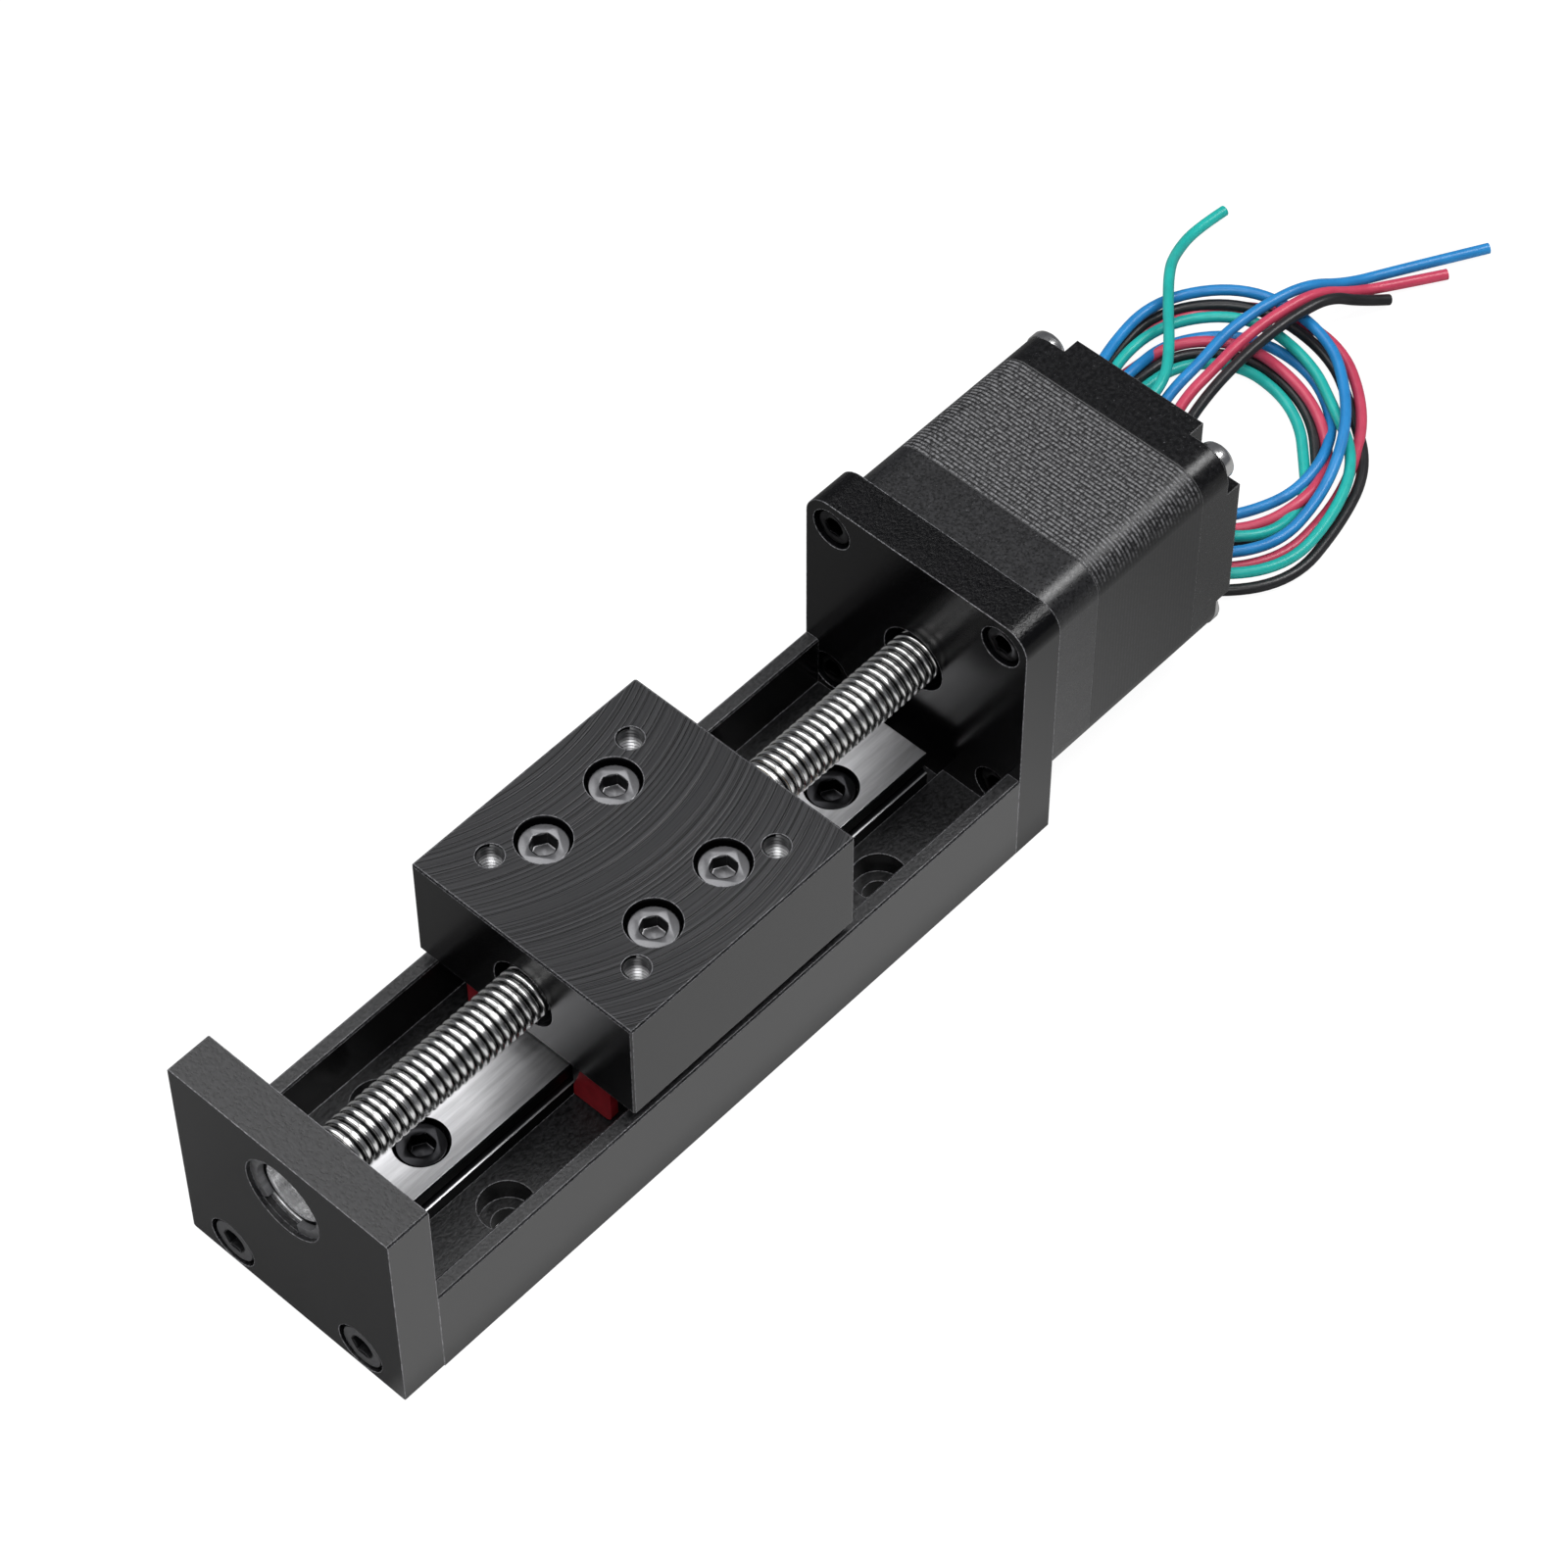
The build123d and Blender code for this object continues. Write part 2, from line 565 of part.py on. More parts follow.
def grommet_block(y1):
    """A block through the rear housing's side, out to y1."""
    y0 = MOTOR_SIDE / 2 - GROMMET_IN
    x0 = GROMMET_X - GROMMET_HALF_X
    x1 = GROMMET_X + GROMMET_HALF_X
    return slab(x0, x1, y0, y1, GROMMET_Z - GROMMET_HALF_Z, GROMMET_Z + GROMMET_HALF_Z)


def lead_grommet():
    """The plug in the rear housing's side that the four leads come out of."""
    return grommet_block(MOTOR_SIDE / 2 + GROMMET_OUT)


def tie_screws():
    """The long pan head screws that hold the two housings on the stack."""
    thread, head, height, cross = TIE_SCREW
    shank = Pos(0, 0, -TIE_SCREW_LENGTH / 2) * Cylinder(thread / 2 - THREAD_FIT, TIE_SCREW_LENGTH)
    cap = Pos(0, 0, height / 2) * Cylinder(head / 2, height)
    screw = fillet(cap.edges().group_by(Axis.Z)[-1], height / 2) + shank
    screw -= Pos(0, 0, height) * (Box(cross, CROSS_SLOT, height) + Box(CROSS_SLOT, cross, height))
    x = MOTOR_REAR_X - NOTCH_DEPTH
    return group(facing_right(x, y, z) * screw for y, z in motor_hole_places())


def rotor_core(x0):
    core = along_x(ROTOR_D / 2, x0, x0 + CORE_LENGTH)
    return core - along_x(SHAFT_D / 2, x0, x0 + CORE_LENGTH)


def rotor_magnet():
    x0 = ROTOR_X + CORE_LENGTH
    magnet = along_x(ROTOR_D / 2 - MAGNET_STEP, x0, x0 + MAGNET_LENGTH)
    return magnet - along_x(SHAFT_D / 2, x0, x0 + MAGNET_LENGTH)


# Leads. Each route is a hand-laid list of points; the coil lies flat on the surface the base stands on.
LEAD_R = LEAD_D / 2
LEADS_OUT = {
    "red": [
        (GROMMET_X, 15.3, 16.85), (GROMMET_X, 20.4, 16.85), (77.4, 24.4, 11.4), (83.2, 25.4, 4.4),
        (89.9, 23.7, 1.1), (96.0, 20.4, 0.75),
    ],
    "blue": [
        (GROMMET_X, 15.3, 15.35), (GROMMET_X, 19.6, 15.35), (77.2, 22.9, 10.2), (82.6, 23.8, 3.8),
        (88.9, 22.2, 0.95), (94.6, 19.2, 0.72),
    ],
    "black": [
        (GROMMET_X, 15.3, 13.85), (GROMMET_X, 18.8, 13.85), (77.0, 21.4, 9.0), (82.0, 22.2, 3.2),
        (87.9, 20.7, 0.85), (93.2, 17.9, 0.7),
    ],
    "green": [
        (GROMMET_X, 15.3, 12.35), (GROMMET_X, 18.0, 12.35), (76.8, 19.9, 7.9), (81.4, 20.6, 2.6),
        (87.0, 19.2, 0.75), (91.8, 16.6, 0.68),
    ],
}
LEADS_TAIL = {
    "blue": [
        (89.4, 8.4, 3.2), (94.6, 10.8, 4.2), (100.4, 12.4, 5.0), (105.8, 12.7, 5.1), (111.2, 13.5, 5.1),
        (117.6, 12.9, 5.1), (123.2, 11.5, 4.95), (128.6, 9.9, 1.9), (134.4, 7.9, 0.72), (139.9, 4.9, 0.66),
        (145.2, 1.9, 0.68),
    ],
    "red": [
        (89.4, 6.2, 3.2), (94.6, 8.7, 4.2), (100.6, 10.6, 5.0), (105.6, 10.9, 5.1), (110.9, 11.4, 5.1),
        (117.0, 11.1, 5.1), (123.0, 10.0, 4.95), (128.2, 8.4, 1.9), (133.2, 6.3, 0.72), (138.7, 2.9, 0.66),
    ],
    "black": [
        (88.4, 4.0, 3.2), (93.6, 6.4, 4.2), (98.6, 8.2, 5.0), (103.4, 9.1, 5.1), (108.4, 9.6, 5.1),
        (113.2, 9.7, 5.15), (118.2, 9.4, 5.1), (123.4, 8.4, 4.95), (127.6, 6.9, 2.0), (131.0, 5.3, 0.72),
    ],
    "green": [
        (88.0, 10.2, 3.2), (94.0, 12.6, 4.4), (99.4, 14.2, 5.0), (104.4, 17.0, 5.1), (109.4, 20.8, 5.1),
        (114.6, 24.8, 4.95), (119.6, 27.6, 1.9), (124.5, 28.8, 0.72), (129.2, 28.3, 0.66),
    ],
}


def corner_radii(points):
    """Each corner's arc, as large as its two runs allow."""
    vectors = [Vector(*p) for p in points]
    runs = [b - a for a, b in zip(vectors, vectors[1:])]
    radii = []
    for a, b in zip(runs, runs[1:]):
        half_turn = math.radians(a.get_angle(b)) / 2
        radii.append(0.45 * min(a.length, b.length) / math.tan(half_turn))
    return radii


def lead(name, points):
    """A plain tube along straight runs joined by tangent arcs."""
    radii = corner_radii(points)
    path = FilletPolyline(*points, radius=radii)
    start = Plane(path @ 0, z_dir=path % 0)
    tube = sweep(start * Circle(LEAD_R), path=path)
    length = path.length
    share = tube.volume / (math.pi * LEAD_R**2 * length)
    print(name, "length", round(length, 1), "volume share", round(share, 4))
    print("  radii", [round(r, 1) for r in radii])
    return tube


def lead_coil():
    """The outer shape of the coiled part of all four leads: a flat oval ring."""
    ring = Ellipse(*COIL_OUTER) - Ellipse(*COIL_INNER)
    return extrude(Pos(*COIL_CENTRE, 0) * Rot(0, 0, COIL_TURN) * ring, amount=COIL_HEIGHT)


def main():
    os.makedirs("parts", exist_ok=True)
    write(base_channel(), "base_channel")
    write(end_plate(), "end_plate")
    write(end_plate_screws(), "end_plate_screws")
    write(retaining_ring(), "retaining_ring")
    write(motor_mount(), "motor_mount")
    write(mount_base_screws(), "mount_base_screws")
    write(motor_mount_screws(), "motor_mount_screws")
    write(linear_rail(), "linear_rail")
    write(rail_screws(), "rail_screws")
    write(rail_block(), "rail_block")
    write(block_balls(), "rail_block_balls")
    write(block_end_caps(), "rail_block_end_caps")
    write(block_end_seals(), "rail_block_end_seals")
    write(carriage_block(), "carriage_block")
    write(carriage_screws(), "carriage_screws")
    write(lead_nut(), "lead_nut")
    write(lead_screw(), "lead_screw")
    write(motor_front_bell(), "motor_front_bell")
    write(motor_stator_stack(), "motor_stator_stack")
    write(stator_windings(), "stator_windings")
    write(motor_rear_bell(), "motor_rear_bell")
    write(tie_screws(), "motor_tie_screws")
    write(rotor_core(ROTOR_X), "rotor_front_core")
    write(rotor_core(ROTOR_X + CORE_LENGTH + MAGNET_LENGTH), "rotor_rear_core")
    write(rotor_magnet(), "rotor_magnet")
    write(lead_grommet(), "lead_grommet")
    bearings = {
        "end_bearing": (BEARING_X, BEARING_WIDTH, BEARING_OD, BEARING_ID, 10),
        "front_bearing": (FRONT_BEARING_X, MOTOR_BEARING_WIDTH, MOTOR_BEARING_OD, SHAFT_D, 7),
        "rear_bearing": (REAR_BEARING_X, MOTOR_BEARING_WIDTH, MOTOR_BEARING_OD, SHAFT_D, 7),
    }
    for name, (x0, width, outer_d, inner_d, count) in bearings.items():
        write(outer_ring(x0, width, outer_d, inner_d), f"{name}_outer_ring")
        write(inner_ring(x0, width, outer_d, inner_d), f"{name}_inner_ring")
        write(balls(x0, width, outer_d, inner_d, count), f"{name}_balls")
    write(lead_coil(), "lead_coil")
    for colour, points in LEADS_OUT.items():
        write(lead(f"{colour} outlet", points), f"lead_{colour}_outlet")
    for colour, points in LEADS_TAIL.items():
        write(lead(f"{colour} tail", points), f"lead_{colour}_tail")


main()
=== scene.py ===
"""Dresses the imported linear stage: finishes, thread, screws, leads, light and camera."""

import logging
import math
from collections.abc import Callable, Iterator, Sequence
from contextlib import contextmanager
from dataclasses import dataclass, replace
from enum import Enum

import bmesh
import bpy
from mathutils import Matrix, Vector


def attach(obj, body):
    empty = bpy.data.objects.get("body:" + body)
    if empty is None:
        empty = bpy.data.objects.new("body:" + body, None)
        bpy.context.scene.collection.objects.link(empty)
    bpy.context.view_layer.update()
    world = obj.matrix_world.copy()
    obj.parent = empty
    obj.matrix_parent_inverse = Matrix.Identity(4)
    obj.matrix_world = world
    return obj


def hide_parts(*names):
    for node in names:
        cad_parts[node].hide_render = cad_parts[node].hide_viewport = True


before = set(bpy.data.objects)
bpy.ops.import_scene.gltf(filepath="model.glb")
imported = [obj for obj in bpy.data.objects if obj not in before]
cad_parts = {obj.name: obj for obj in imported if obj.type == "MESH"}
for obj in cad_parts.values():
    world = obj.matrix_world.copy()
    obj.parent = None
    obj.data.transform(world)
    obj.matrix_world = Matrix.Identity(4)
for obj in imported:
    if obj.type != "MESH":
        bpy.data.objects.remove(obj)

MM = 0.001
RIGHT_ANGLE = math.pi / 2
AXIS_MM = 20.0  # the screw's height over the base's underside
log = logging.getLogger("linear_stage")

Point = tuple[float, float, float]
Colour = tuple[float, float, float, float]
Outline = tuple[tuple[float, float], ...]
Test = Callable[[Vector, Vector], bool]
Tree = bpy.types.NodeTree
Node = bpy.types.Node
Socket = bpy.types.NodeSocket
Piece = bpy.types.Object


class Body(Enum):
    """The three rigid groups of the stage."""

    BASE = "base"
    SCREW = "screw"
    CARRIAGE = "carriage"


class Facing(Enum):
    """The side that a sunk screw's head looks to, as turns about X, Y and Z in degrees."""

    UP = (0.0, 0.0, 0.0)
    LEFT = (0.0, -90.0, 0.0)
    RIGHT = (0.0, 90.0, 0.0)


class Step(Enum):
    """A step in working out a finish: a sum, or a node's type, settings, inputs in order and output."""

    ADD = "ADD"
    SUBTRACT = "SUBTRACT"
    MULTIPLY = "MULTIPLY"
    MULTIPLY_ADD = "MULTIPLY_ADD"
    DIVIDE = "DIVIDE"
    MINIMUM = "MINIMUM"
    MAXIMUM = "MAXIMUM"
    LESS_THAN = "LESS_THAN"
    SQUARE_ROOT = "SQRT"
    SINE = "SINE"
    ABSOLUTE = "ABSOLUTE"
    # A value's range onto 0 to 1, or onto a range of its own, held at both ends.
    RAMP = ("MapRange", {}, (0, 1, 2, 3, 4), 0)
    # From the first colour, or value, to the second as a share goes from 0 to 1.
    TINT = ("Mix", {"data_type": "RGBA"}, (0, 6, 7), 2)
    FADE = ("Mix", {"data_type": "FLOAT"}, (0, 2, 3), 0)
    # The normal that a surface has once its edges are rounded to a radius.
    ROUND = ("Bevel", {"samples": 6}, (0,), 0)
    DOT = ("VectorMath", {"operation": "DOT_PRODUCT"}, (0, 1), 1)


# Shader helpers


def linear(code: str) -> Colour:
    """Turns an sRGB hex colour into linear light.

    Args:
        code: six hex digits after a hash sign.

    Returns:
        Red, green, blue and an alpha of 1.
    """
    parts = [int(code[i : i + 2], 16) / 255 for i in (1, 3, 5)]
    red, green, blue = (c / 12.92 if c <= 0.04045 else ((c + 0.055) / 1.055) ** 2.4 for c in parts)
    return red, green, blue, 1.0


def shade(colour: Colour, factor: float) -> Colour:
    """Makes a linear colour lighter or darker by a factor."""
    return (*(min(1.0, part * factor) for part in colour[:3]), 1.0)


def put(
    tree: Tree,
    kind: str,
    settings: dict[str, object] | None = None,
    inputs: dict[str | int, object] | None = None,
) -> Node:
    """Adds one shader node.

    Args:
        tree: the node tree.
        kind: the node's type name, without ShaderNode in front.
        settings: attributes to set on the node.
        inputs: a value, or another node's output, for each named or numbered socket.

    Returns:
        The new node.
    """
    made = tree.nodes.new(f"ShaderNode{kind}")
    for name, value in (settings or {}).items():
        setattr(made, name, value)
    for key, value in (inputs or {}).items():
        if isinstance(value, Socket):
            tree.links.new(value, made.inputs[key])
        else:
            made.inputs[key].default_value = value
    return made


def work(tree: Tree, step: Step, *values: object) -> Socket:
    """Works out one step of a finish.

    Args:
        tree: the node tree.
        step: the step.
        values: a number, colour or other node's output for each of its inputs. The rest keep their defaults.

    Returns:
        The step's result.
    """
    plain = ("Math", {"operation": step.value}, (0, 1, 2), 0)
    kind, settings, inputs, output = step.value if isinstance(step.value, tuple) else plain
    return put(tree, kind, settings, dict(zip(inputs, values))).outputs[output]


def grain(tree: Tree, size_mm: float | Point, octaves: float = 2.0) -> Socket:
    """Noise in object space whose specks have a real size.

    Args:
        tree: the node tree.
        size_mm: the specks' size, or their sizes along X, Y and Z.
        octaves: how many finer layers are added.

    Returns:
        The noise's value, from 0 to 1.
    """
    sizes = size_mm if isinstance(size_mm, tuple) else (size_mm,) * 3
    place = put(tree, "TexCoord").outputs["Object"]
    scale = tuple(1 / (size * MM) for size in sizes)
    mapped = put(tree, "Mapping", inputs={"Vector": place, "Scale": scale}).outputs["Vector"]
    inputs = {"Vector": mapped, "Scale": 1.0, "Detail": octaves, "Roughness": 0.6}
    return put(tree, "TexNoise", inputs=inputs).outputs["Fac"]


def looking(tree: Tree, axis: str, sign: float = 1.0, low: float = 0.55, high: float = 0.85) -> Socket:
    """Tells which faces look along one of the piece's own axes.

    Args:
        tree: the node tree.
        axis: X, Y or Z.
        sign: 1 for the axis, -1 for against it.
        low: the normal's share of the axis where the result is 0.
        high: the share where it is 1.

    Returns:
        A value from 0 to 1.
    """
    normal = put(tree, "TexCoord").outputs["Normal"]
    part = put(tree, "SeparateXYZ", inputs={0: normal}).outputs[axis]
    return work(tree, Step.RAMP, work(tree, Step.MULTIPLY, part, sign), low, high)


def own_place(tree: Tree) -> bpy.types.NodeOutputs:
    """Gives the point's own X, Y and Z on the piece."""
    place = put(tree, "TexCoord").outputs["Object"]
    return put(tree, "SeparateXYZ", inputs={0: place}).outputs


def edge_share(tree: Tree, radius_mm: float) -> Socket:
    """Finds sharp edges, by how far rounding them would bend the normal.

    Args:
        tree: the node tree.
        radius_mm: how far the share reaches from an edge.

    Returns:
        1 on an edge, 0 beyond the radius.
    """
    unbent, bent = 0.995, 0.86
    true = put(tree, "NewGeometry").outputs["Normal"]
    along = work(tree, Step.DOT, work(tree, Step.ROUND, radius_mm * MM), true)
    return work(tree, Step.RAMP, along, unbent, bent)


def relief(tree: Tree, shader: Node, height: Socket, depth_mm: float, round_mm: float = 0.0) -> None:
    """Gives a surface fine relief, and optionally softens its edges.

    Args:
        tree: the node tree.
        shader: the principled shader.
        height: the relief's height, from 0 to 1.
        depth_mm: how deep it is from 0 to 1.
        round_mm: the radius that sharp edges look rounded to.
    """
    inputs: dict[str | int, object] = {"Height": height, "Distance": depth_mm * MM, "Strength": 1.0}
    if round_mm:
        inputs["Normal"] = work(tree, Step.ROUND, round_mm * MM)
    bump = put(tree, "Bump", inputs=inputs)
    tree.links.new(bump.outputs["Normal"], shader.inputs["Normal"])


# Finishes


@dataclass(frozen=True)
class Finish:
    """One real surface: its colour, gloss and what its making left on it."""

    name: str
    colour: str
    roughness: float
    metallic: float = 0.0
    ior: float = 1.5
    specular: float = 0.5

    def build(self) -> bpy.types.Material:
        """Makes the material.

        Returns:
            A new material with this finish.
        """
        material = bpy.data.materials.new(self.name)
        material.use_nodes = True
        tree = material.node_tree
        tree.nodes.clear()
        shader = put(
            tree,
            "BsdfPrincipled",
            inputs={
                "Base Color": linear(self.colour),
                "Roughness": self.roughness,
                "Metallic": self.metallic,
                "IOR": self.ior,
                "Specular IOR Level": self.specular,
            },
        )
        put(tree, "OutputMaterial", inputs={"Surface": shader.outputs["BSDF"]})
        self.mark(tree, shader)
        return material

    def mark(self, tree: Tree, shader: Node) -> None:
        """Adds what the surface's making and use left on it.

        Args:
            tree: the material's nodes.
            shader: its principled shader.
        """

    def gloss(self, tree: Tree, shader: Node, texture: Socket, smoother: float, rougher: float) -> None:
        """Lets the roughness follow a texture.

        Args:
            tree: the material's nodes.
            shader: its principled shader.
            texture: the texture's value, from 0 to 1.
            smoother: how much less rough its low parts are.
            rougher: how much rougher its high parts are.
        """
        rough = work(tree, Step.RAMP, texture, 0.3, 0.7, self.roughness - smoother, self.roughness + rougher)
        tree.links.new(rough, shader.inputs["Roughness"])


class Tooling(Enum):
    """Machining marks under the anodising: their size in mm, octaves, depth in mm, share of colour."""

    DRAWN = ((0.5, 0.3, 0.3), 4.0, 0.02, 0.55)
    SAWN = ((0.3, 0.55, 0.3), 5.0, 0.012, 0.3)
    FLY_CUT = (None, 0.0, 0.025, 1.0)  # arcs instead of grain


@dataclass(frozen=True)
class Anodised(Finish):
    """Black anodised aluminium: a satin dye-filled oxide, thinner and paler on its sharp edges."""

    worn: str = "#b0b0b4"
    ridge: str = "#4c4c4e"
    tooling: Tooling = Tooling.DRAWN
    side_roughness: float = 0.24
    cutter_centre_mm: float = 2.9
    cutter_radius_mm: float = 33.3
    # The cutter's real feed is too fine to show. Its arcs are drawn at two coarser steps, with a share each.
    feeds_mm: Outline = ((0.16, 0.6), (0.42, 0.4))

    def mark(self, tree: Tree, shader: Node) -> None:
        """Adds tooling marks on the upper faces, dye variation and pale edges.

        Args:
            tree: the material's nodes.
            shader: its principled shader.
        """
        size_mm, octaves, depth_mm, strength = self.tooling.value
        lines = grain(tree, size_mm, octaves) if size_mm else self.swirl(tree)
        upper = looking(tree, "Z")
        marks = work(tree, Step.MULTIPLY, work(tree, Step.RAMP, lines, 0.36, 0.64), upper)
        patchy = work(tree, Step.RAMP, grain(tree, 0.3, 3.0), 0.38, 0.62)
        rubbed = work(tree, Step.MULTIPLY_ADD, patchy, 0.7, 0.2)
        wear = work(tree, Step.MULTIPLY, edge_share(tree, 0.2), rubbed)
        cloud = work(tree, Step.RAMP, grain(tree, 9.0), 0.3, 0.7)
        deep = linear(self.colour)
        dyed = work(tree, Step.TINT, work(tree, Step.MULTIPLY, cloud, 0.5), deep, shade(deep, 1.5))
        streaks = work(tree, Step.MULTIPLY, marks, strength)
        streaked = work(tree, Step.TINT, streaks, dyed, linear(self.ridge))
        tree.links.new(work(tree, Step.TINT, wear, streaked, linear(self.worn)), shader.inputs["Base Color"])
        cut = work(tree, Step.RAMP, lines, 0.35, 0.65, self.roughness - 0.04, self.roughness + 0.05)
        tree.links.new(work(tree, Step.FADE, upper, self.side_roughness, cut), shader.inputs["Roughness"])
        pits = work(tree, Step.MULTIPLY, grain(tree, 0.18, 3.0), 0.06)
        relief(tree, shader, work(tree, Step.ADD, marks, pits), depth_mm, 0.12)

    def swirl(self, tree: Tree) -> Socket:
        """Arcs of one radius, fed along Y, as a single-point cutter leaves them.

        Args:
            tree: the node tree.

        Returns:
            The marks' height, from 0 to 1.
        """
        place = own_place(tree)
        across = work(tree, Step.SUBTRACT, place["X"], self.cutter_centre_mm * MM)
        square = work(tree, Step.MULTIPLY, across, across)
        rest = work(tree, Step.SUBTRACT, (self.cutter_radius_mm * MM) ** 2, square)
        fed = work(tree, Step.ADD, place["Y"], work(tree, Step.SQUARE_ROOT, rest))
        total: object = 0.0
        for feed_mm, share in self.feeds_mm:
            turns = work(tree, Step.DIVIDE, fed, feed_mm * MM)
            inputs = {"W": turns, "Scale": 1.0, "Detail": 1.0}
            line = put(tree, "TexNoise", {"noise_dimensions": "1D"}, inputs).outputs["Fac"]
            total = work(tree, Step.MULTIPLY_ADD, line, share, total)
        return total


@dataclass(frozen=True)
class Ground(Finish):
    """Ground steel: bright, with fine lines along the grinding direction."""

    lines_mm: float | Point = (9.0, 0.12, 0.12)
    depth_mm: float = 0.004
    stain: float = 0.62
    flank_shade: str = ""

    def mark(self, tree: Tree, shader: Node) -> None:
        """Adds grinding lines and faint stains, and painted shade on the faces that turn away from the top,
        where the finish has one.

        Args:
            tree: the material's nodes.
            shader: its principled shader.
        """
        lines = grain(tree, self.lines_mm, 3.0)
        stain = work(tree, Step.RAMP, grain(tree, (9.0, 0.7, 0.7), 4.0), 0.35, 0.7)
        base = linear(self.colour)
        face = work(tree, Step.TINT, stain, base, shade(base, self.stain))
        if self.flank_shade:
            # Painted shade: faces that turn away from the top take the flank colour.
            face = work(tree, Step.TINT, looking(tree, "Z", low=0.9, high=0.97), linear(self.flank_shade), face)
        tree.links.new(face, shader.inputs["Base Color"])
        self.gloss(tree, shader, lines, 0.03, 0.05)
        if self.depth_mm:
            relief(tree, shader, lines, self.depth_mm, 0.08)


@dataclass(frozen=True)
class Rolled(Ground):
    """A rolled stainless thread: bright crests over roots painted dark as shade, so its rings stand apart."""

    plain_to_mm: float = -41.7
    root_mm: float = 2.48
    crest_mm: float = 2.88
    root_shade: str = "#111113"

    def mark(self, tree: Tree, shader: Node) -> None:
        """Adds the stains of the ground finish, and darkens what lies near the axis as painted shade in the
        roots.

        Args:
            tree: the material's nodes.
            shader: its principled shader.
        """
        super().mark(tree, shader)
        # Painted shade: what lies near the axis, in the thread's roots, takes the dark colour, and the plain
        # journal keeps the face colour.
        place = own_place(tree)
        rise = work(tree, Step.SUBTRACT, place["Z"], AXIS_MM * MM)
        across = work(tree, Step.MULTIPLY, place["Y"], place["Y"])
        reach = work(tree, Step.SQUARE_ROOT, work(tree, Step.MULTIPLY_ADD, rise, rise, across))
        crests = work(tree, Step.RAMP, reach, self.root_mm * MM, self.crest_mm * MM)
        plain = work(tree, Step.LESS_THAN, place["X"], self.plain_to_mm * MM)
        face = shader.inputs["Base Color"].links[0].from_socket
        unshaded = work(tree, Step.MAXIMUM, crests, plain)
        tree.links.new(work(tree, Step.TINT, unshaded, linear(self.root_shade), face), shader.inputs["Base Color"])


@dataclass(frozen=True)
class Coated(Finish):
    """A sprayed black coat over a casting, with a leathery grain."""

    grain_mm: float = 0.3
    depth_mm: float = 0.02
    pale: str = "#343436"
    dust: str = "#77777a"
    thin: str = "#9a9a9c"

    def mark(self, tree: Tree, shader: Node) -> None:
        """Adds the coat's grain, dust specks and thin edges.

        Args:
            tree: the material's nodes.
            shader: its principled shader.
        """
        skin = grain(tree, self.grain_mm, 3.0)
        patch = work(tree, Step.RAMP, grain(tree, 2.2, 3.0), 0.3, 0.75, 0.35, 1.0)
        specks = work(tree, Step.RAMP, grain(tree, 0.22, 1.0), 0.72, 0.8, 0.0, 0.5)
        leather = work(tree, Step.MULTIPLY, work(tree, Step.RAMP, skin, 0.38, 0.62), patch)
        mixed = work(tree, Step.TINT, leather, linear(self.colour), linear(self.pale))
        dusty = work(tree, Step.TINT, specks, mixed, linear(self.dust))
        edge = work(tree, Step.MULTIPLY, edge_share(tree, 0.15), 0.5)
        tree.links.new(work(tree, Step.TINT, edge, dusty, linear(self.thin)), shader.inputs["Base Color"])
        self.gloss(tree, shader, skin, 0.06, 0.1)
        relief(tree, shader, skin, self.depth_mm, 0.25)


@dataclass(frozen=True)
class Laminated(Finish):
    """A painted stack of punched steel sheets: fine lines across the motor, broken into short dashes."""

    sheet_mm: float = 0.5
    # The real breaks in the paint are finer. They are drawn as coarse as they need to show.
    dash_mm: float = 0.34
    crest: str = "#7c7c7e"

    def mark(self, tree: Tree, shader: Node) -> None:
        """Adds the sheets' edges and the paint that bridges them, whose pale dashes show almost only on
        upward faces as painted sheen.

        Args:
            tree: the material's nodes.
            shader: its principled shader.
        """
        turns = work(tree, Step.MULTIPLY, own_place(tree)["X"], 2 * math.pi / (self.sheet_mm * MM))
        wave = work(tree, Step.MULTIPLY_ADD, work(tree, Step.SINE, turns), 0.5, 0.5)
        dashes = work(tree, Step.RAMP, grain(tree, (self.sheet_mm, self.dash_mm, self.dash_mm)), 0.4, 0.6)
        broken = work(tree, Step.MULTIPLY, wave, work(tree, Step.MULTIPLY_ADD, dashes, 0.85, 0.15))
        # The pale dashes fall almost only on upward faces: painted sheen on the stack's top, over a real
        # pattern.
        worn = work(tree, Step.MULTIPLY_ADD, looking(tree, "Z", low=0.2), 0.94, 0.06)
        height = work(tree, Step.MULTIPLY, broken, worn)
        face = work(tree, Step.TINT, height, linear(self.colour), linear(self.crest))
        tree.links.new(face, shader.inputs["Base Color"])
        relief(tree, shader, height, 0.05, 0.15)


@dataclass(frozen=True)
class Moulded(Finish):
    """Moulded plastic or rubber: an even skin with a very fine texture and a few scuffs."""

    depth_mm: float = 0.006
    second: str = ""

    def mark(self, tree: Tree, shader: Node) -> None:
        """Adds the mould's texture and slight changes of shade.

        Args:
            tree: the material's nodes.
            shader: its principled shader.
        """
        skin = grain(tree, 0.2)
        patch = work(tree, Step.RAMP, grain(tree, 3.0, 3.0), 0.35, 0.7)
        base = linear(self.colour)
        other = linear(self.second) if self.second else shade(base, 1.5)
        tree.links.new(work(tree, Step.TINT, patch, base, other), shader.inputs["Base Color"])
        self.gloss(tree, shader, skin, 0.04, 0.08)
        relief(tree, shader, skin, self.depth_mm)


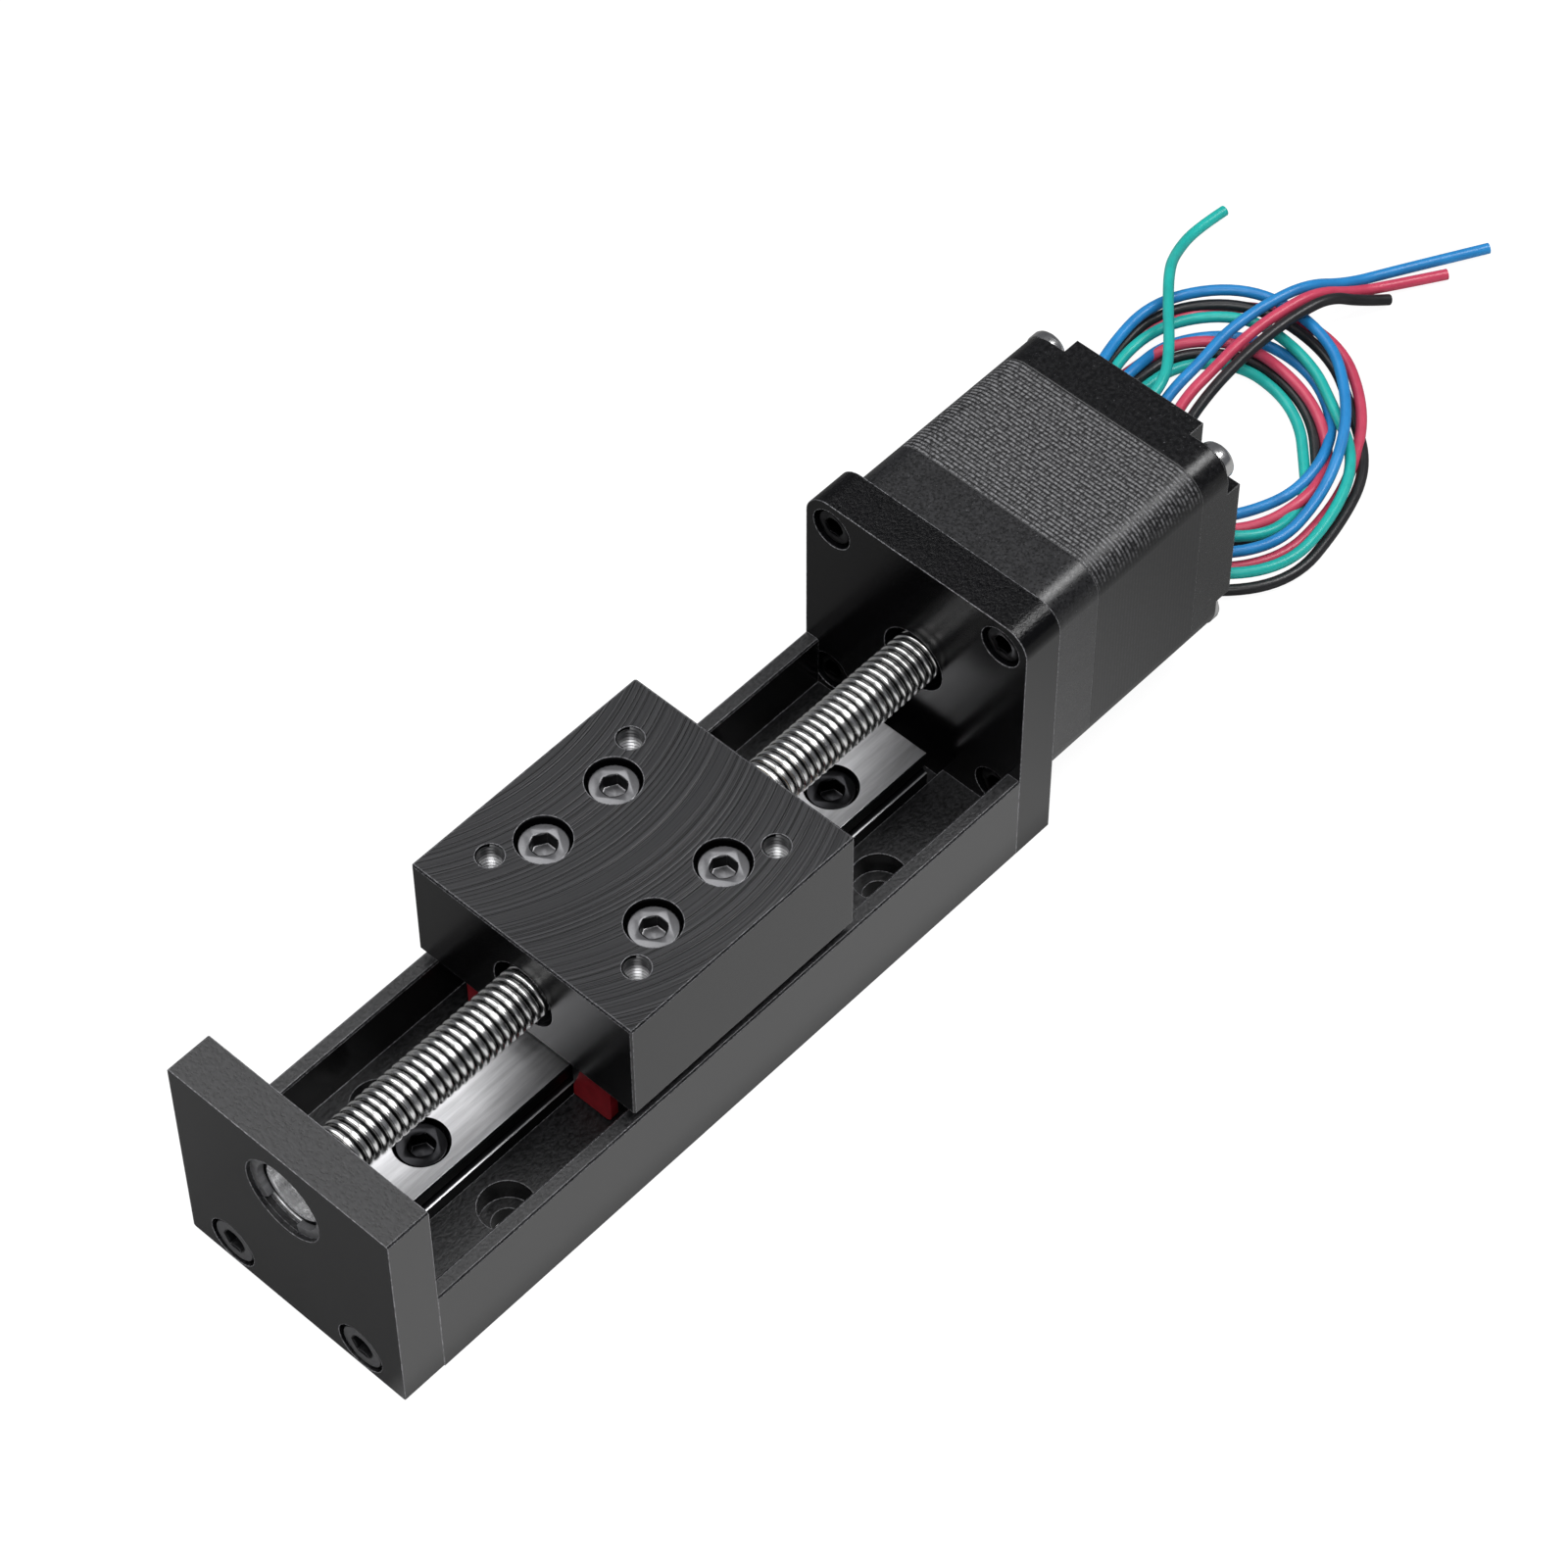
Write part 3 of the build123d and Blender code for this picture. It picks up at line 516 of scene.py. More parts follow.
@dataclass(frozen=True)
class Oxidised(Finish):
    """Black oxide on hardened steel: grey on the face, rubbed pale on the rims, and painted dark as shade in
    the socket and on the sides.
    """

    rubbed: str = "#e6e6e8"
    recess_shade: str = "#1d1d1f"
    facing: Facing = Facing.UP

    def mark(self, tree: Tree, shader: Node) -> None:
        """Adds faint stains, painted shade in the socket and on the sides, and pale rims.

        Args:
            tree: the material's nodes.
            shader: its principled shader.
        """
        stain = work(tree, Step.RAMP, grain(tree, 0.3, 3.0), 0.35, 0.7)
        axis, sign = {Facing.UP: ("Z", 1.0), Facing.LEFT: ("X", -1.0), Facing.RIGHT: ("X", 1.0)}[self.facing]
        base = linear(self.colour)
        face = work(tree, Step.TINT, stain, base, shade(base, 1.15))
        # Painted shade: faces that don't look out along the head's axis, the socket's walls and the head's
        # sides, take the dark colour.
        mixed = work(tree, Step.TINT, looking(tree, axis, sign, 0.88, 0.95), linear(self.recess_shade), face)
        worn = work(tree, Step.MULTIPLY, edge_share(tree, 0.13), 0.8)
        tree.links.new(work(tree, Step.TINT, worn, mixed, linear(self.rubbed)), shader.inputs["Base Color"])
        relief(tree, shader, grain(tree, 0.1), 0.002)


@dataclass(frozen=True)
class TappedWithPaintedGlint(Finish):
    """A tapped aluminium hole: dark, with a painted highlight on its upward flanks from a few turns down."""

    glint_fades_mm: float = 26.3
    glint_full_mm: float = 25.3
    painted_glint: str = "#e4e4e6"

    def mark(self, tree: Tree, shader: Node) -> None:
        """Paints a highlight on the upward flanks, which fades in down the hole.

        Args:
            tree: the material's nodes.
            shader: its principled shader.
        """
        # Painted highlight: upward flanks deeper than a few turns take the pale colour.
        depth = work(tree, Step.RAMP, own_place(tree)["Z"], self.glint_full_mm * MM, self.glint_fades_mm * MM, 1.0, 0.04)
        glint_share = work(tree, Step.MULTIPLY, depth, looking(tree, "Z", low=0.1, high=0.6))
        mixed = work(tree, Step.TINT, glint_share, linear(self.colour), linear(self.painted_glint))
        tree.links.new(mixed, shader.inputs["Base Color"])
        relief(tree, shader, grain(tree, 0.2), 0.003)


@dataclass(frozen=True)
class WiperSeal(Moulded):
    """A wiper: dark beside the rail and red outside it."""

    outer_colour: str = "#a3202b"
    inner_mm: float = 4.2
    low_mm: float = 5.4
    slope: float = 0.316
    blur_mm: float = 0.05

    def mark(self, tree: Tree, shader: Node) -> None:
        """Colours the outer bands red, up to a line that leans outwards with height.

        Args:
            tree: the material's nodes.
            shader: its principled shader.
        """
        place = own_place(tree)
        rise = work(tree, Step.SUBTRACT, place["Z"], self.low_mm * MM)
        line = work(tree, Step.MULTIPLY_ADD, rise, self.slope, self.inner_mm * MM)
        beyond = work(tree, Step.SUBTRACT, work(tree, Step.ABSOLUTE, place["Y"]), line)
        share = work(tree, Step.RAMP, beyond, -self.blur_mm * MM, self.blur_mm * MM)
        patch = work(tree, Step.RAMP, grain(tree, 1.5, 3.0), 0.35, 0.7)
        red = work(tree, Step.TINT, patch, linear(self.outer_colour), linear(self.second))
        tree.links.new(work(tree, Step.TINT, share, linear(self.colour), red), shader.inputs["Base Color"])
        relief(tree, shader, grain(tree, 0.2), self.depth_mm)


# The base's satin black shows the drawing lines of its stock, with bright worn corners.
ANODISED = Anodised("black_anodised_aluminium", "#0b0b0c", 0.32, ridge="#363638")
# The motor plate is smoother, so it looks deeper black and mirrors more.
ANODISED_PLATE = Anodised(
    "black_anodised_milled_plate", "#060607", 0.17, specular=0.26, ridge="#111113", side_roughness=0.2
)
# The end plate was sawn and tumbled: matt, with a mottled top.
ANODISED_SAWN = Anodised("black_anodised_sawn_faces", "#111112", 0.3, tooling=Tooling.SAWN)
# The carriage's top shows the cutter's arcs as fine pale lines.
ANODISED_TOP = Anodised(
    "black_anodised_fly_cut", "#060607", 0.3, specular=0.34, tooling=Tooling.FLY_CUT, ridge="#343436"
)
# The front casting's coat looks leathery and satin.
HOUSING = Coated("black_coated_die_casting", "#121213", 0.3, depth_mm=0.012, pale="#29292b")
# The rear casting's coat is thicker, so it looks darker and more even.
HOUSING_REAR = Coated(
    "black_coated_rear_casting", "#0b0b0c", 0.24, specular=0.4, grain_mm=0.5, depth_mm=0.008, pale="#161618"
)
# Paint over the stator's sheets leaves grey dashes on black, pale almost only on the top as painted sheen.
LAMINATIONS = Laminated("painted_steel_laminations", "#0c0c0d", 0.34, specular=0.4)
# The rail's top is bright and finely lined, and its grooved flanks are painted dark as shade.
RAIL_STEEL = Ground(
    "ground_rail_steel", "#e0e0e2", 0.4, 1.0, lines_mm=(9.0, 0.25, 0.25), depth_mm=0.002, stain=0.72,
    flank_shade="#222224",
)
# The rail's block is a duller grey.
BLOCK_STEEL = Ground("ground_block_steel", "#8d8d90", 0.34, 1.0)
# The thread's crests are burnished by rolling, and its roots are painted dark as shade.
SCREW_STEEL = Rolled("rolled_stainless_thread", "#e6e6e5", 0.24, 1.0, lines_mm=3.0, depth_mm=0.0, stain=0.85)
# Polished balls and rings mirror the room.
BEARING_STEEL = Ground("polished_bearing_steel", "#d8d8d9", 0.18, 1.0, lines_mm=(0.3, 0.9, 0.9), depth_mm=0.0)
# The bore ring's turned face shows as a pale ring.
RING_STEEL = Ground("turned_bearing_ring", "#f0f0f1", 0.26, 0.6, lines_mm=(0.3, 0.9, 0.9), depth_mm=0.0)
# The outer ring shows pale round its shield lips, which are painted dark as the shade in the gap between the
# rings.
SHIELDED_STEEL = Rolled(
    "shielded_bearing_ring", "#dcdcdd", 0.3, 0.6, depth_mm=0.0, plain_to_mm=-100.0, root_mm=4.34,
    crest_mm=4.42, root_shade="#2c2c2e",
)
# Phosphate leaves the snap ring an even grey.
SPRING_STEEL = Ground("phosphated_spring_steel", "#8c8c8e", 0.36, 0.6, lines_mm=0.4)
# Handled screws show grey faces with pale rims, and their sockets and sides are painted dark as shade.
BLACK_OXIDE = Oxidised("black_oxide_steel", "#727274", 0.32, 0.75)
# The rail's and the motor's screws take a darker copy of the finish, as painted shade.
BLACK_OXIDE_SHADED = Oxidised(
    "black_oxide_steel_shaded", "#2e2e30", 0.3, 1.0, rubbed="#808082", recess_shade="#0c0c0d"
)
# Painted highlights on the upward flanks show inside the dark holes.
HOLE_THREAD = TappedWithPaintedGlint("tapped_aluminium_painted_glint", "#1a1a1c", 0.35, 0.4)
# Plated screw heads are the brightest things on the motor.
NICKEL = Ground("bright_nickel_plate", "#f0f0ef", 0.2, 1.0, lines_mm=0.3, depth_mm=0.0, stain=0.85)
# The caps look soft black, with no sharp glints.
CAP_PLASTIC = Moulded("moulded_black_acetal", "#151516", 0.4)
# The wipers show as red wedges beside the rail.
SEAL_RUBBER = WiperSeal("moulded_wiper_rubber", "#121213", 0.5, second="#8d1620")
# Inside, and not seen with the stage closed: yellow turned brass, orange enamel, dull magnet, dark sheets.
NUT_BRASS = Ground("turned_brass", "#c79a4a", 0.28, 1.0, lines_mm=(0.15, 3.0, 3.0))
ENAMELLED = Moulded("enamelled_copper_wire", "#b4552a", 0.3, second="#9a4420")
MAGNET = Moulded("sintered_magnet", "#5b5b5d", 0.5, second="#4a4a4c")
CORE_STEEL = Laminated("rotor_laminations", "#2c2c2e", 0.4)
# The plug that the leads leave through is matt rubber.
GROMMET_RUBBER = Moulded("grommet_rubber", "#18181a", 0.6)

RACES = ("outer_ring", "inner_ring", "balls")
FIND = {
    ANODISED: ("base_channel",),
    ANODISED_PLATE: ("motor_mount",),
    ANODISED_SAWN: ("end_plate",),
    ANODISED_TOP: ("carriage_block",),
    HOUSING: ("motor_front_bell",),
    HOUSING_REAR: ("motor_rear_bell",),
    LAMINATIONS: ("motor_stator_stack",),
    RAIL_STEEL: ("linear_rail",),
    BLOCK_STEEL: ("rail_block",),
    BEARING_STEEL: (
        "end_bearing_balls",
        *(f"{end}_bearing_{part}" for end in ("front", "rear") for part in RACES),
        "rail_block_balls",
    ),
    SPRING_STEEL: ("retaining_ring",),
    CAP_PLASTIC: ("rail_block_end_caps",),
    SEAL_RUBBER: ("rail_block_end_seals",),
    NUT_BRASS: ("lead_nut",),
    ENAMELLED: ("stator_windings",),
    MAGNET: ("rotor_magnet",),
    CORE_STEEL: ("rotor_front_core", "rotor_rear_core"),
    GROMMET_RUBBER: ("lead_grommet",),
}


# Modelling helpers


def clear_selection() -> None:
    """Deselects every object."""
    bpy.ops.object.select_all(action="DESELECT")


def choose(*pieces: Piece) -> None:
    """Selects some objects alone.

    Args:
        pieces: the objects. The first becomes the active one.
    """
    clear_selection()
    for piece in pieces:
        piece.select_set(True)
    bpy.context.view_layer.objects.active = pieces[0]


def apply_place(*pieces: Piece) -> None:
    """Puts the place, turn and scale of objects into their meshes."""
    choose(*pieces)
    bpy.ops.object.transform_apply(location=True, rotation=True, scale=True)


@contextmanager
def editing(piece: Piece) -> Iterator[None]:
    """Opens a piece in edit mode with nothing selected, and closes it again.

    Args:
        piece: the piece.

    Returns:
        Nothing, while the piece is open.
    """
    choose(piece)
    bpy.ops.object.mode_set(mode="EDIT")
    bpy.ops.mesh.select_all(action="DESELECT")
    yield
    bpy.ops.object.mode_set(mode="OBJECT")


def pick_faces(piece: Piece, test: Test) -> None:
    """Selects faces of the piece in edit mode, and leaves face select mode on.

    Args:
        piece: the piece.
        test: tells by a face's centre and normal whether it is wanted.
    """
    bpy.ops.mesh.select_mode(type="FACE")
    mesh = bmesh.from_edit_mesh(piece.data)
    for face in mesh.faces:
        face.select_set(test(face.calc_center_median(), face.normal))
    bmesh.update_edit_mesh(piece.data)


def extrude(move: Sequence[float]) -> None:
    """Extrudes what is selected along a move in metres."""
    bpy.ops.mesh.extrude_region_move(TRANSFORM_OT_translate={"value": move})


def face_outwards(merge: float = 0.0) -> None:
    """Turns every face outwards.

    Args:
        merge: points nearer than this many metres are merged first, unless it is 0.
    """
    bpy.ops.mesh.select_all(action="SELECT")
    if merge:
        bpy.ops.mesh.remove_doubles(threshold=merge)
    bpy.ops.mesh.normals_make_consistent(inside=False)


def trim(place_mm: Sequence[float], away: Sequence[float], fill: bool) -> None:
    """Cuts off what lies beyond a plane.

    Args:
        place_mm: a point on the plane.
        away: the direction of what goes.
        fill: whether the cut is closed.
    """
    bpy.ops.mesh.select_all(action="SELECT")
    place = tuple(value * MM for value in place_mm)
    bpy.ops.mesh.bisect(plane_co=place, plane_no=away, use_fill=fill, clear_outer=True)


def apply_modifier(piece: Piece, kind: str, **settings: object) -> None:
    """Adds a modifier and applies it.

    Args:
        piece: the piece.
        kind: the modifier's type name.
        settings: its settings.
    """
    choose(piece)
    modifier = piece.modifiers.new(kind.lower(), kind)
    for name, value in settings.items():
        setattr(modifier, name, value)
    bpy.ops.object.modifier_apply(modifier=modifier.name)


def cut(piece: Piece, tool: Piece) -> None:
    """Cuts a tool's shape out of a piece, and uses the tool up."""
    apply_modifier(piece, "BOOLEAN", operation="DIFFERENCE", object=tool, solver="EXACT")
    bpy.data.objects.remove(tool, do_unlink=True)


def soften(piece: Piece, width_mm: float, sharp_deg: float) -> None:
    """Rounds every edge that is sharper than an angle."""
    sharp = math.radians(sharp_deg)
    apply_modifier(piece, "BEVEL", width=width_mm * MM, segments=2, limit_method="ANGLE", angle_limit=sharp)


def bar(sides: int, radius_mm: float, length_mm: float, middle_mm: Point, turn: float = 0.0) -> Piece:
    """Adds a round bar to be shaped further.

    Args:
        sides: the number of its sides.
        radius_mm: its radius.
        length_mm: its length.
        middle_mm: where its middle lies.
        turn: its turn about Y from upright, in radians.

    Returns:
        The bar.
    """
    clear_selection()
    bpy.ops.mesh.primitive_cylinder_add(
        vertices=sides,
        radius=radius_mm * MM,
        depth=length_mm * MM,
        location=tuple(value * MM for value in middle_mm),
        rotation=(0, turn, 0),
    )
    made = bpy.context.object
    apply_place(made)
    return made


def settle(piece: Piece, name: str, material: bpy.types.Material, smooth_deg: float = 35.0) -> None:
    """Names a piece, gives it its material and puts its place into its mesh.

    Args:
        piece: the modelled object.
        name: its final name.
        material: its finish.
        smooth_deg: edges sharper than this stay sharp.
    """
    apply_place(piece)
    bpy.ops.object.shade_smooth_by_angle(angle=math.radians(smooth_deg))
    piece.name = name
    piece.data.name = name
    piece.data.materials.clear()
    piece.data.materials.append(material)


def copies(model: Piece, places_mm: Sequence[Point], facing: Facing) -> Piece:
    """Sets out copies of a modelled part and joins them into one object.

    Args:
        model: the part at the origin, its head towards +Z. It is used up.
        places_mm: where each copy's origin goes.
        facing: the side that the heads look to.

    Returns:
        The joined object.
    """
    made = []
    for place in places_mm:
        copy = model.copy()
        copy.data = model.data.copy()
        bpy.context.collection.objects.link(copy)
        copy.location = Vector(place) * MM
        copy.rotation_euler = [math.radians(turn) for turn in facing.value]
        made.append(copy)
    apply_place(*made)
    if len(made) > 1:
        bpy.ops.object.join()
    bpy.data.objects.remove(model, do_unlink=True)
    return made[0]


def mount_piece(piece: Piece, body: Body, slot: str, *nodes: str) -> None:
    """Hangs a piece on its body and hides the solids that it stands for.

    Args:
        piece: the finished piece.
        body: the body that it rides on.
        slot: not used.
        nodes: the solids that it stands for.
    """
    if nodes:
        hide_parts(*nodes)
    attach(piece, body.value)
    log.info("%s rides on %s, %d faces", piece.name, body.value, len(getattr(piece.data, "polygons", ())))


def wind(outline_mm: Sequence[tuple[float, float]], pitch_mm: float, turns: int, steps: int) -> Piece:
    """Winds an outline round the X axis.

    Args:
        outline_mm: the outline's points as (along X, radius).
        pitch_mm: how far it moves along X in one turn.
        turns: the number of turns.
        steps: the sides of one turn.

    Returns:
        The wound surface, open at both ends.
    """
    clear_selection()
    bpy.ops.mesh.primitive_plane_add(size=MM, location=(0, 0, 0))
    wound = bpy.context.object
    bpy.ops.object.mode_set(mode="EDIT")
    # Only a point can be extruded to a line, so the plane is merged to one in vertex select mode.
    bpy.ops.mesh.select_mode(type="VERT")
    bpy.ops.mesh.select_all(action="SELECT")
    bpy.ops.mesh.merge(type="CENTER")
    here = Vector((outline_mm[0][0], 0, outline_mm[0][1])) * MM
    bpy.ops.transform.translate(value=here)
    for along, radius in outline_mm[1:]:
        there = Vector((along, 0, radius)) * MM
        extrude(there - here)
        here = there
    bpy.ops.object.mode_set(mode="OBJECT")
    apply_modifier(
        wound,
        "SCREW",
        axis="X",
        angle=2 * math.pi,
        screw_offset=pitch_mm * MM,
        iterations=turns,
        steps=steps,
        render_steps=steps,
        use_merge_vertices=True,
        merge_threshold=1e-6,
        use_smooth_shade=True,
    )
    return wound


# Parts


@dataclass
class LeadScrew:
    """The rolled screw with its plain journal and the motor's shaft."""

    pitch_mm: float = 1.0
    radius_mm: float = 3.0
    start_mm: float = -41.6
    end_mm: float = 48.6
    journal_start_mm: float = -45.0
    journal_radius_mm: float = 2.97
    shaft_end_mm: float = 76.7
    shaft_radius_mm: float = 2.48
    overlap_mm: float = 0.3
    sides: int = 40
    # Half a pitch from the root to the crest's middle, as (along X, depth below the crest).
    flank_mm: Outline = (
        (0.0, 0.52), (0.07, 0.5), (0.16, 0.22), (0.22, 0.08), (0.31, 0.025), (0.4, 0.005), (0.5, 0.0),
    )

    def build(self) -> Piece:
        """Models the screw.

        Returns:
            The finished piece.
        """
        rising = [(along, self.radius_mm - depth) for along, depth in self.flank_mm]
        falling = [(self.pitch_mm - along, radius) for along, radius in reversed(rising[:-1])]
        # One turn more than needed at each end is trimmed off.
        turns = math.ceil((self.end_mm - self.start_mm) / self.pitch_mm) + 2
        screw = wind(rising + falling, self.pitch_mm, turns, self.sides)
        screw.location = Vector((self.start_mm - self.pitch_mm, 0, AXIS_MM)) * MM
        apply_place(screw)
        with editing(screw):
            face_outwards()
            trim((self.start_mm, 0, 0), (-1, 0, 0), True)
            trim((self.end_mm, 0, 0), (1, 0, 0), True)
        journal = self.rod(self.journal_start_mm, self.start_mm + self.overlap_mm, self.journal_radius_mm)
        shaft = self.rod(self.end_mm - self.overlap_mm, self.shaft_end_mm, self.shaft_radius_mm)
        choose(screw, journal, shaft)
        bpy.ops.object.join()
        settle(screw, "lead_screw_thread", SCREW_STEEL.build(), 50.0)
        mount_piece(screw, Body.SCREW, "ground_steel", "lead_screw")
        return screw

    def rod(self, start_mm: float, end_mm: float, radius_mm: float) -> Piece:
        """Turns a plain length with chamfered, centre-drilled ends.

        Args:
            start_mm: where it starts along X.
            end_mm: where it ends.
            radius_mm: its radius.

        Returns:
            The rod.
        """
        rod = bar(64, radius_mm, end_mm - start_mm, ((start_mm + end_mm) / 2, 0, AXIS_MM), RIGHT_ANGLE)
        ring_mm, dish_mm, drill_mm, step = 0.35, 0.15, 0.6, 0.3
        with editing(rod):
            pick_faces(rod, lambda centre, normal: abs(normal.x) > 0.9)
            bpy.ops.mesh.inset(thickness=ring_mm * MM)
            for depth_mm in (dish_mm, drill_mm):
                bpy.ops.mesh.inset(thickness=radius_mm * step * MM, depth=-depth_mm * MM)
        soften(rod, 0.15, 40.0)
        return rod


@dataclass
class SocketScrews:
    """A set of hexagon socket cap screws of one size."""

    name: str
    node: str
    body: Body
    facing: Facing
    places_mm: list[Point]
    length_mm: float
    thread_mm: float
    head_mm: float
    head_height_mm: float
    key_mm: float
    finish: Oxidised = BLACK_OXIDE
    rim_mm: float = 0.2
    knurls: int = 32
    knurled_share: float = 0.975

    def build(self) -> Piece:
        """Models one screw and copies it to its places.

        Returns:
            The finished set.
        """
        straight_mm = self.head_height_mm - self.rim_mm
        screw = bar(2 * self.knurls, self.head_mm / 2, straight_mm, (0, 0, straight_mm / 2))
        with editing(screw):
            pick_faces(screw, lambda centre, normal: normal.z > 0.9)
            bpy.ops.mesh.inset(thickness=self.rim_mm * MM)
            bpy.ops.transform.translate(value=(0, 0, self.rim_mm * MM))
            pick_faces(screw, lambda centre, normal: normal.z < -0.9)
            bpy.ops.mesh.inset(thickness=(self.head_mm - self.thread_mm) / 2 * MM)
            extrude((0, 0, -self.length_mm * MM))
        self.knurl(screw)
        self.broach(screw)
        soften(screw, 0.07, 35.0)
        made = copies(screw, self.places_mm, self.facing)
        settle(made, self.name, replace(self.finish, facing=self.facing).build())
        mount_piece(made, self.body, "black_oxide_screws", self.node)
        return made

    def broach(self, screw: Piece) -> None:
        """Cuts the hexagon socket with its drilled point and its countersink.

        Args:
            screw: the screw at the origin.
        """
        corner_mm = self.key_mm / 2 / math.cos(math.pi / 6)
        step_mm, drill_mm, point = self.key_mm * 0.08, 0.2, 0.15
        socket = bar(6, corner_mm, self.head_height_mm * 1.1, (0, 0, self.head_height_mm))
        with editing(socket):
            pick_faces(socket, lambda centre, normal: normal.z < -0.9)
            bpy.ops.mesh.inset(thickness=step_mm * MM)
            extrude((0, 0, -drill_mm * MM))
            bpy.ops.transform.resize(value=(point, point, 1))
        cut(screw, socket)
        wider_mm, above_mm = 0.22, 0.08
        mouth_mm = corner_mm + wider_mm
        depth_mm = mouth_mm * math.tan(math.pi / 6)
        clear_selection()
        bpy.ops.mesh.primitive_cone_add(
            vertices=48,
            radius1=0.0,
            radius2=mouth_mm * MM,
            depth=depth_mm * MM,
            location=(0, 0, (self.head_height_mm + above_mm - depth_mm / 2) * MM),
        )
        cut(screw, bpy.context.object)

    def knurl(self, screw: Piece) -> None:
        """Draws every other side line of the head in a little, as rolled knurling does.

        Args:
            screw: the screw at the origin.
        """
        with editing(screw):
            bpy.ops.mesh.select_mode(type="VERT")
            mesh = bmesh.from_edit_mesh(screw.data)
            slack_mm, low_mm, high_mm = 0.05, -0.001, self.head_height_mm + 0.01
            for vertex in mesh.verts:
                x, y, z = vertex.co / MM
                line = round(math.atan2(y, x) / math.pi * self.knurls)
                outside = math.hypot(x, y) > self.head_mm / 2 - slack_mm
                vertex.select_set(outside and low_mm < z < high_mm and line % 2 == 0)
            mesh.select_flush(True)
            bmesh.update_edit_mesh(screw.data)
            bpy.ops.transform.resize(value=(self.knurled_share, self.knurled_share, 1))


@dataclass
class TieScrews:
    """The four long pan head screws through the motor."""

    face_mm: float = 75.6
    pitch_mm: float = 23.0
    head_radius_mm: float = 2.2
    head_side_mm: float = 1.0
    thread_radius_mm: float = 0.98
    length_mm: float = 24.0
    # The dome of the head in rings, as (width inwards, rise).
    dome_mm: Outline = ((0.12, 0.28), (0.3, 0.26), (0.5, 0.18), (0.6, 0.06))
    slot_mm: Point = (2.4, 0.5, 1.4)
    slot_height_mm: float = 1.75
    slot_foot: float = 0.35

    def build(self) -> Piece:
        """Models one screw and copies it to the four corners.

        Returns:
            The finished set.
        """
        screw = bar(48, self.head_radius_mm, self.head_side_mm, (0, 0, self.head_side_mm / 2))
        with editing(screw):
            pick_faces(screw, lambda centre, normal: normal.z > 0.9)
            for inset_mm, rise_mm in self.dome_mm:
                bpy.ops.mesh.inset(thickness=inset_mm * MM)
                bpy.ops.transform.translate(value=(0, 0, rise_mm * MM))
            pick_faces(screw, lambda centre, normal: normal.z < -0.9)
            bpy.ops.mesh.inset(thickness=(self.head_radius_mm - self.thread_radius_mm) * MM)
            extrude((0, 0, -self.length_mm * MM))
        for turn in (0.0, RIGHT_ANGLE):
            cut(screw, self.slot(turn))
        half = self.pitch_mm / 2
        places = [(self.face_mm, y, AXIS_MM + z) for y in (-half, half) for z in (-half, half)]
        made = copies(screw, places, Facing.RIGHT)
        settle(made, "motor_tie_screws_set", NICKEL.build(), 40.0)
        mount_piece(made, Body.BASE, "nickel_screws", "motor_tie_screws")
        return made

    def slot(self, turn: float) -> Piece:
        """Makes the tool for one arm of the cross, narrower at its foot.

        Args:
            turn: its turn about Z, in radians.

        Returns:
            The tool.
        """
        clear_selection()
        place = (0, 0, self.slot_height_mm * MM)
        bpy.ops.mesh.primitive_cube_add(size=MM, location=place, rotation=(0, 0, turn))
        tool = bpy.context.object
        tool.scale = self.slot_mm
        apply_place(tool)
        with editing(tool):
            pick_faces(tool, lambda centre, normal: normal.z < -0.9)
            bpy.ops.transform.resize(value=(self.slot_foot, self.slot_foot, 1))
        return tool


@dataclass
class EndBearing:
    """The ball bearing in the end plate, with the thin shields that close it at both sides."""

    start_mm: float = -46.5
    outer_mm: Outline = (
        (0.2, 4.98), (0.0, 4.78), (0.0, 4.42), (0.18, 4.34), (0.26, 3.76), (0.4, 3.76), (0.34, 4.34),
        (2.66, 4.34), (2.6, 3.76), (2.74, 3.76), (2.82, 4.34), (3.0, 4.42), (3.0, 4.78), (2.8, 4.98),
        (0.2, 4.98),
    )
    inner_mm: Outline = (
        (0.0, 3.08), (0.0, 3.58), (0.09, 3.67), (1.0, 3.67), (1.1, 3.45), (1.9, 3.45), (2.0, 3.67),
        (2.91, 3.67), (3.0, 3.58), (3.0, 3.08), (2.92, 3.0), (0.08, 3.0), (0.0, 3.08),
    )

    def build(self) -> None:
        """Turns both rings from their outlines."""
        rings = (
            ("end_bearing_shielded_ring", self.outer_mm, Body.BASE, "end_bearing_outer_ring", SHIELDED_STEEL),
            ("end_bearing_bore_ring", self.inner_mm, Body.SCREW, "end_bearing_inner_ring", RING_STEEL),
        )
        for name, outline, body, node, finish in rings:
            ring = wind(outline, 0.0, 1, 96)
            ring.location = Vector((self.start_mm, 0, AXIS_MM)) * MM
            with editing(ring):
                face_outwards(1e-6)
            settle(ring, name, finish.build(), 30.0)
            mount_piece(ring, body, "bearing_steel", node)


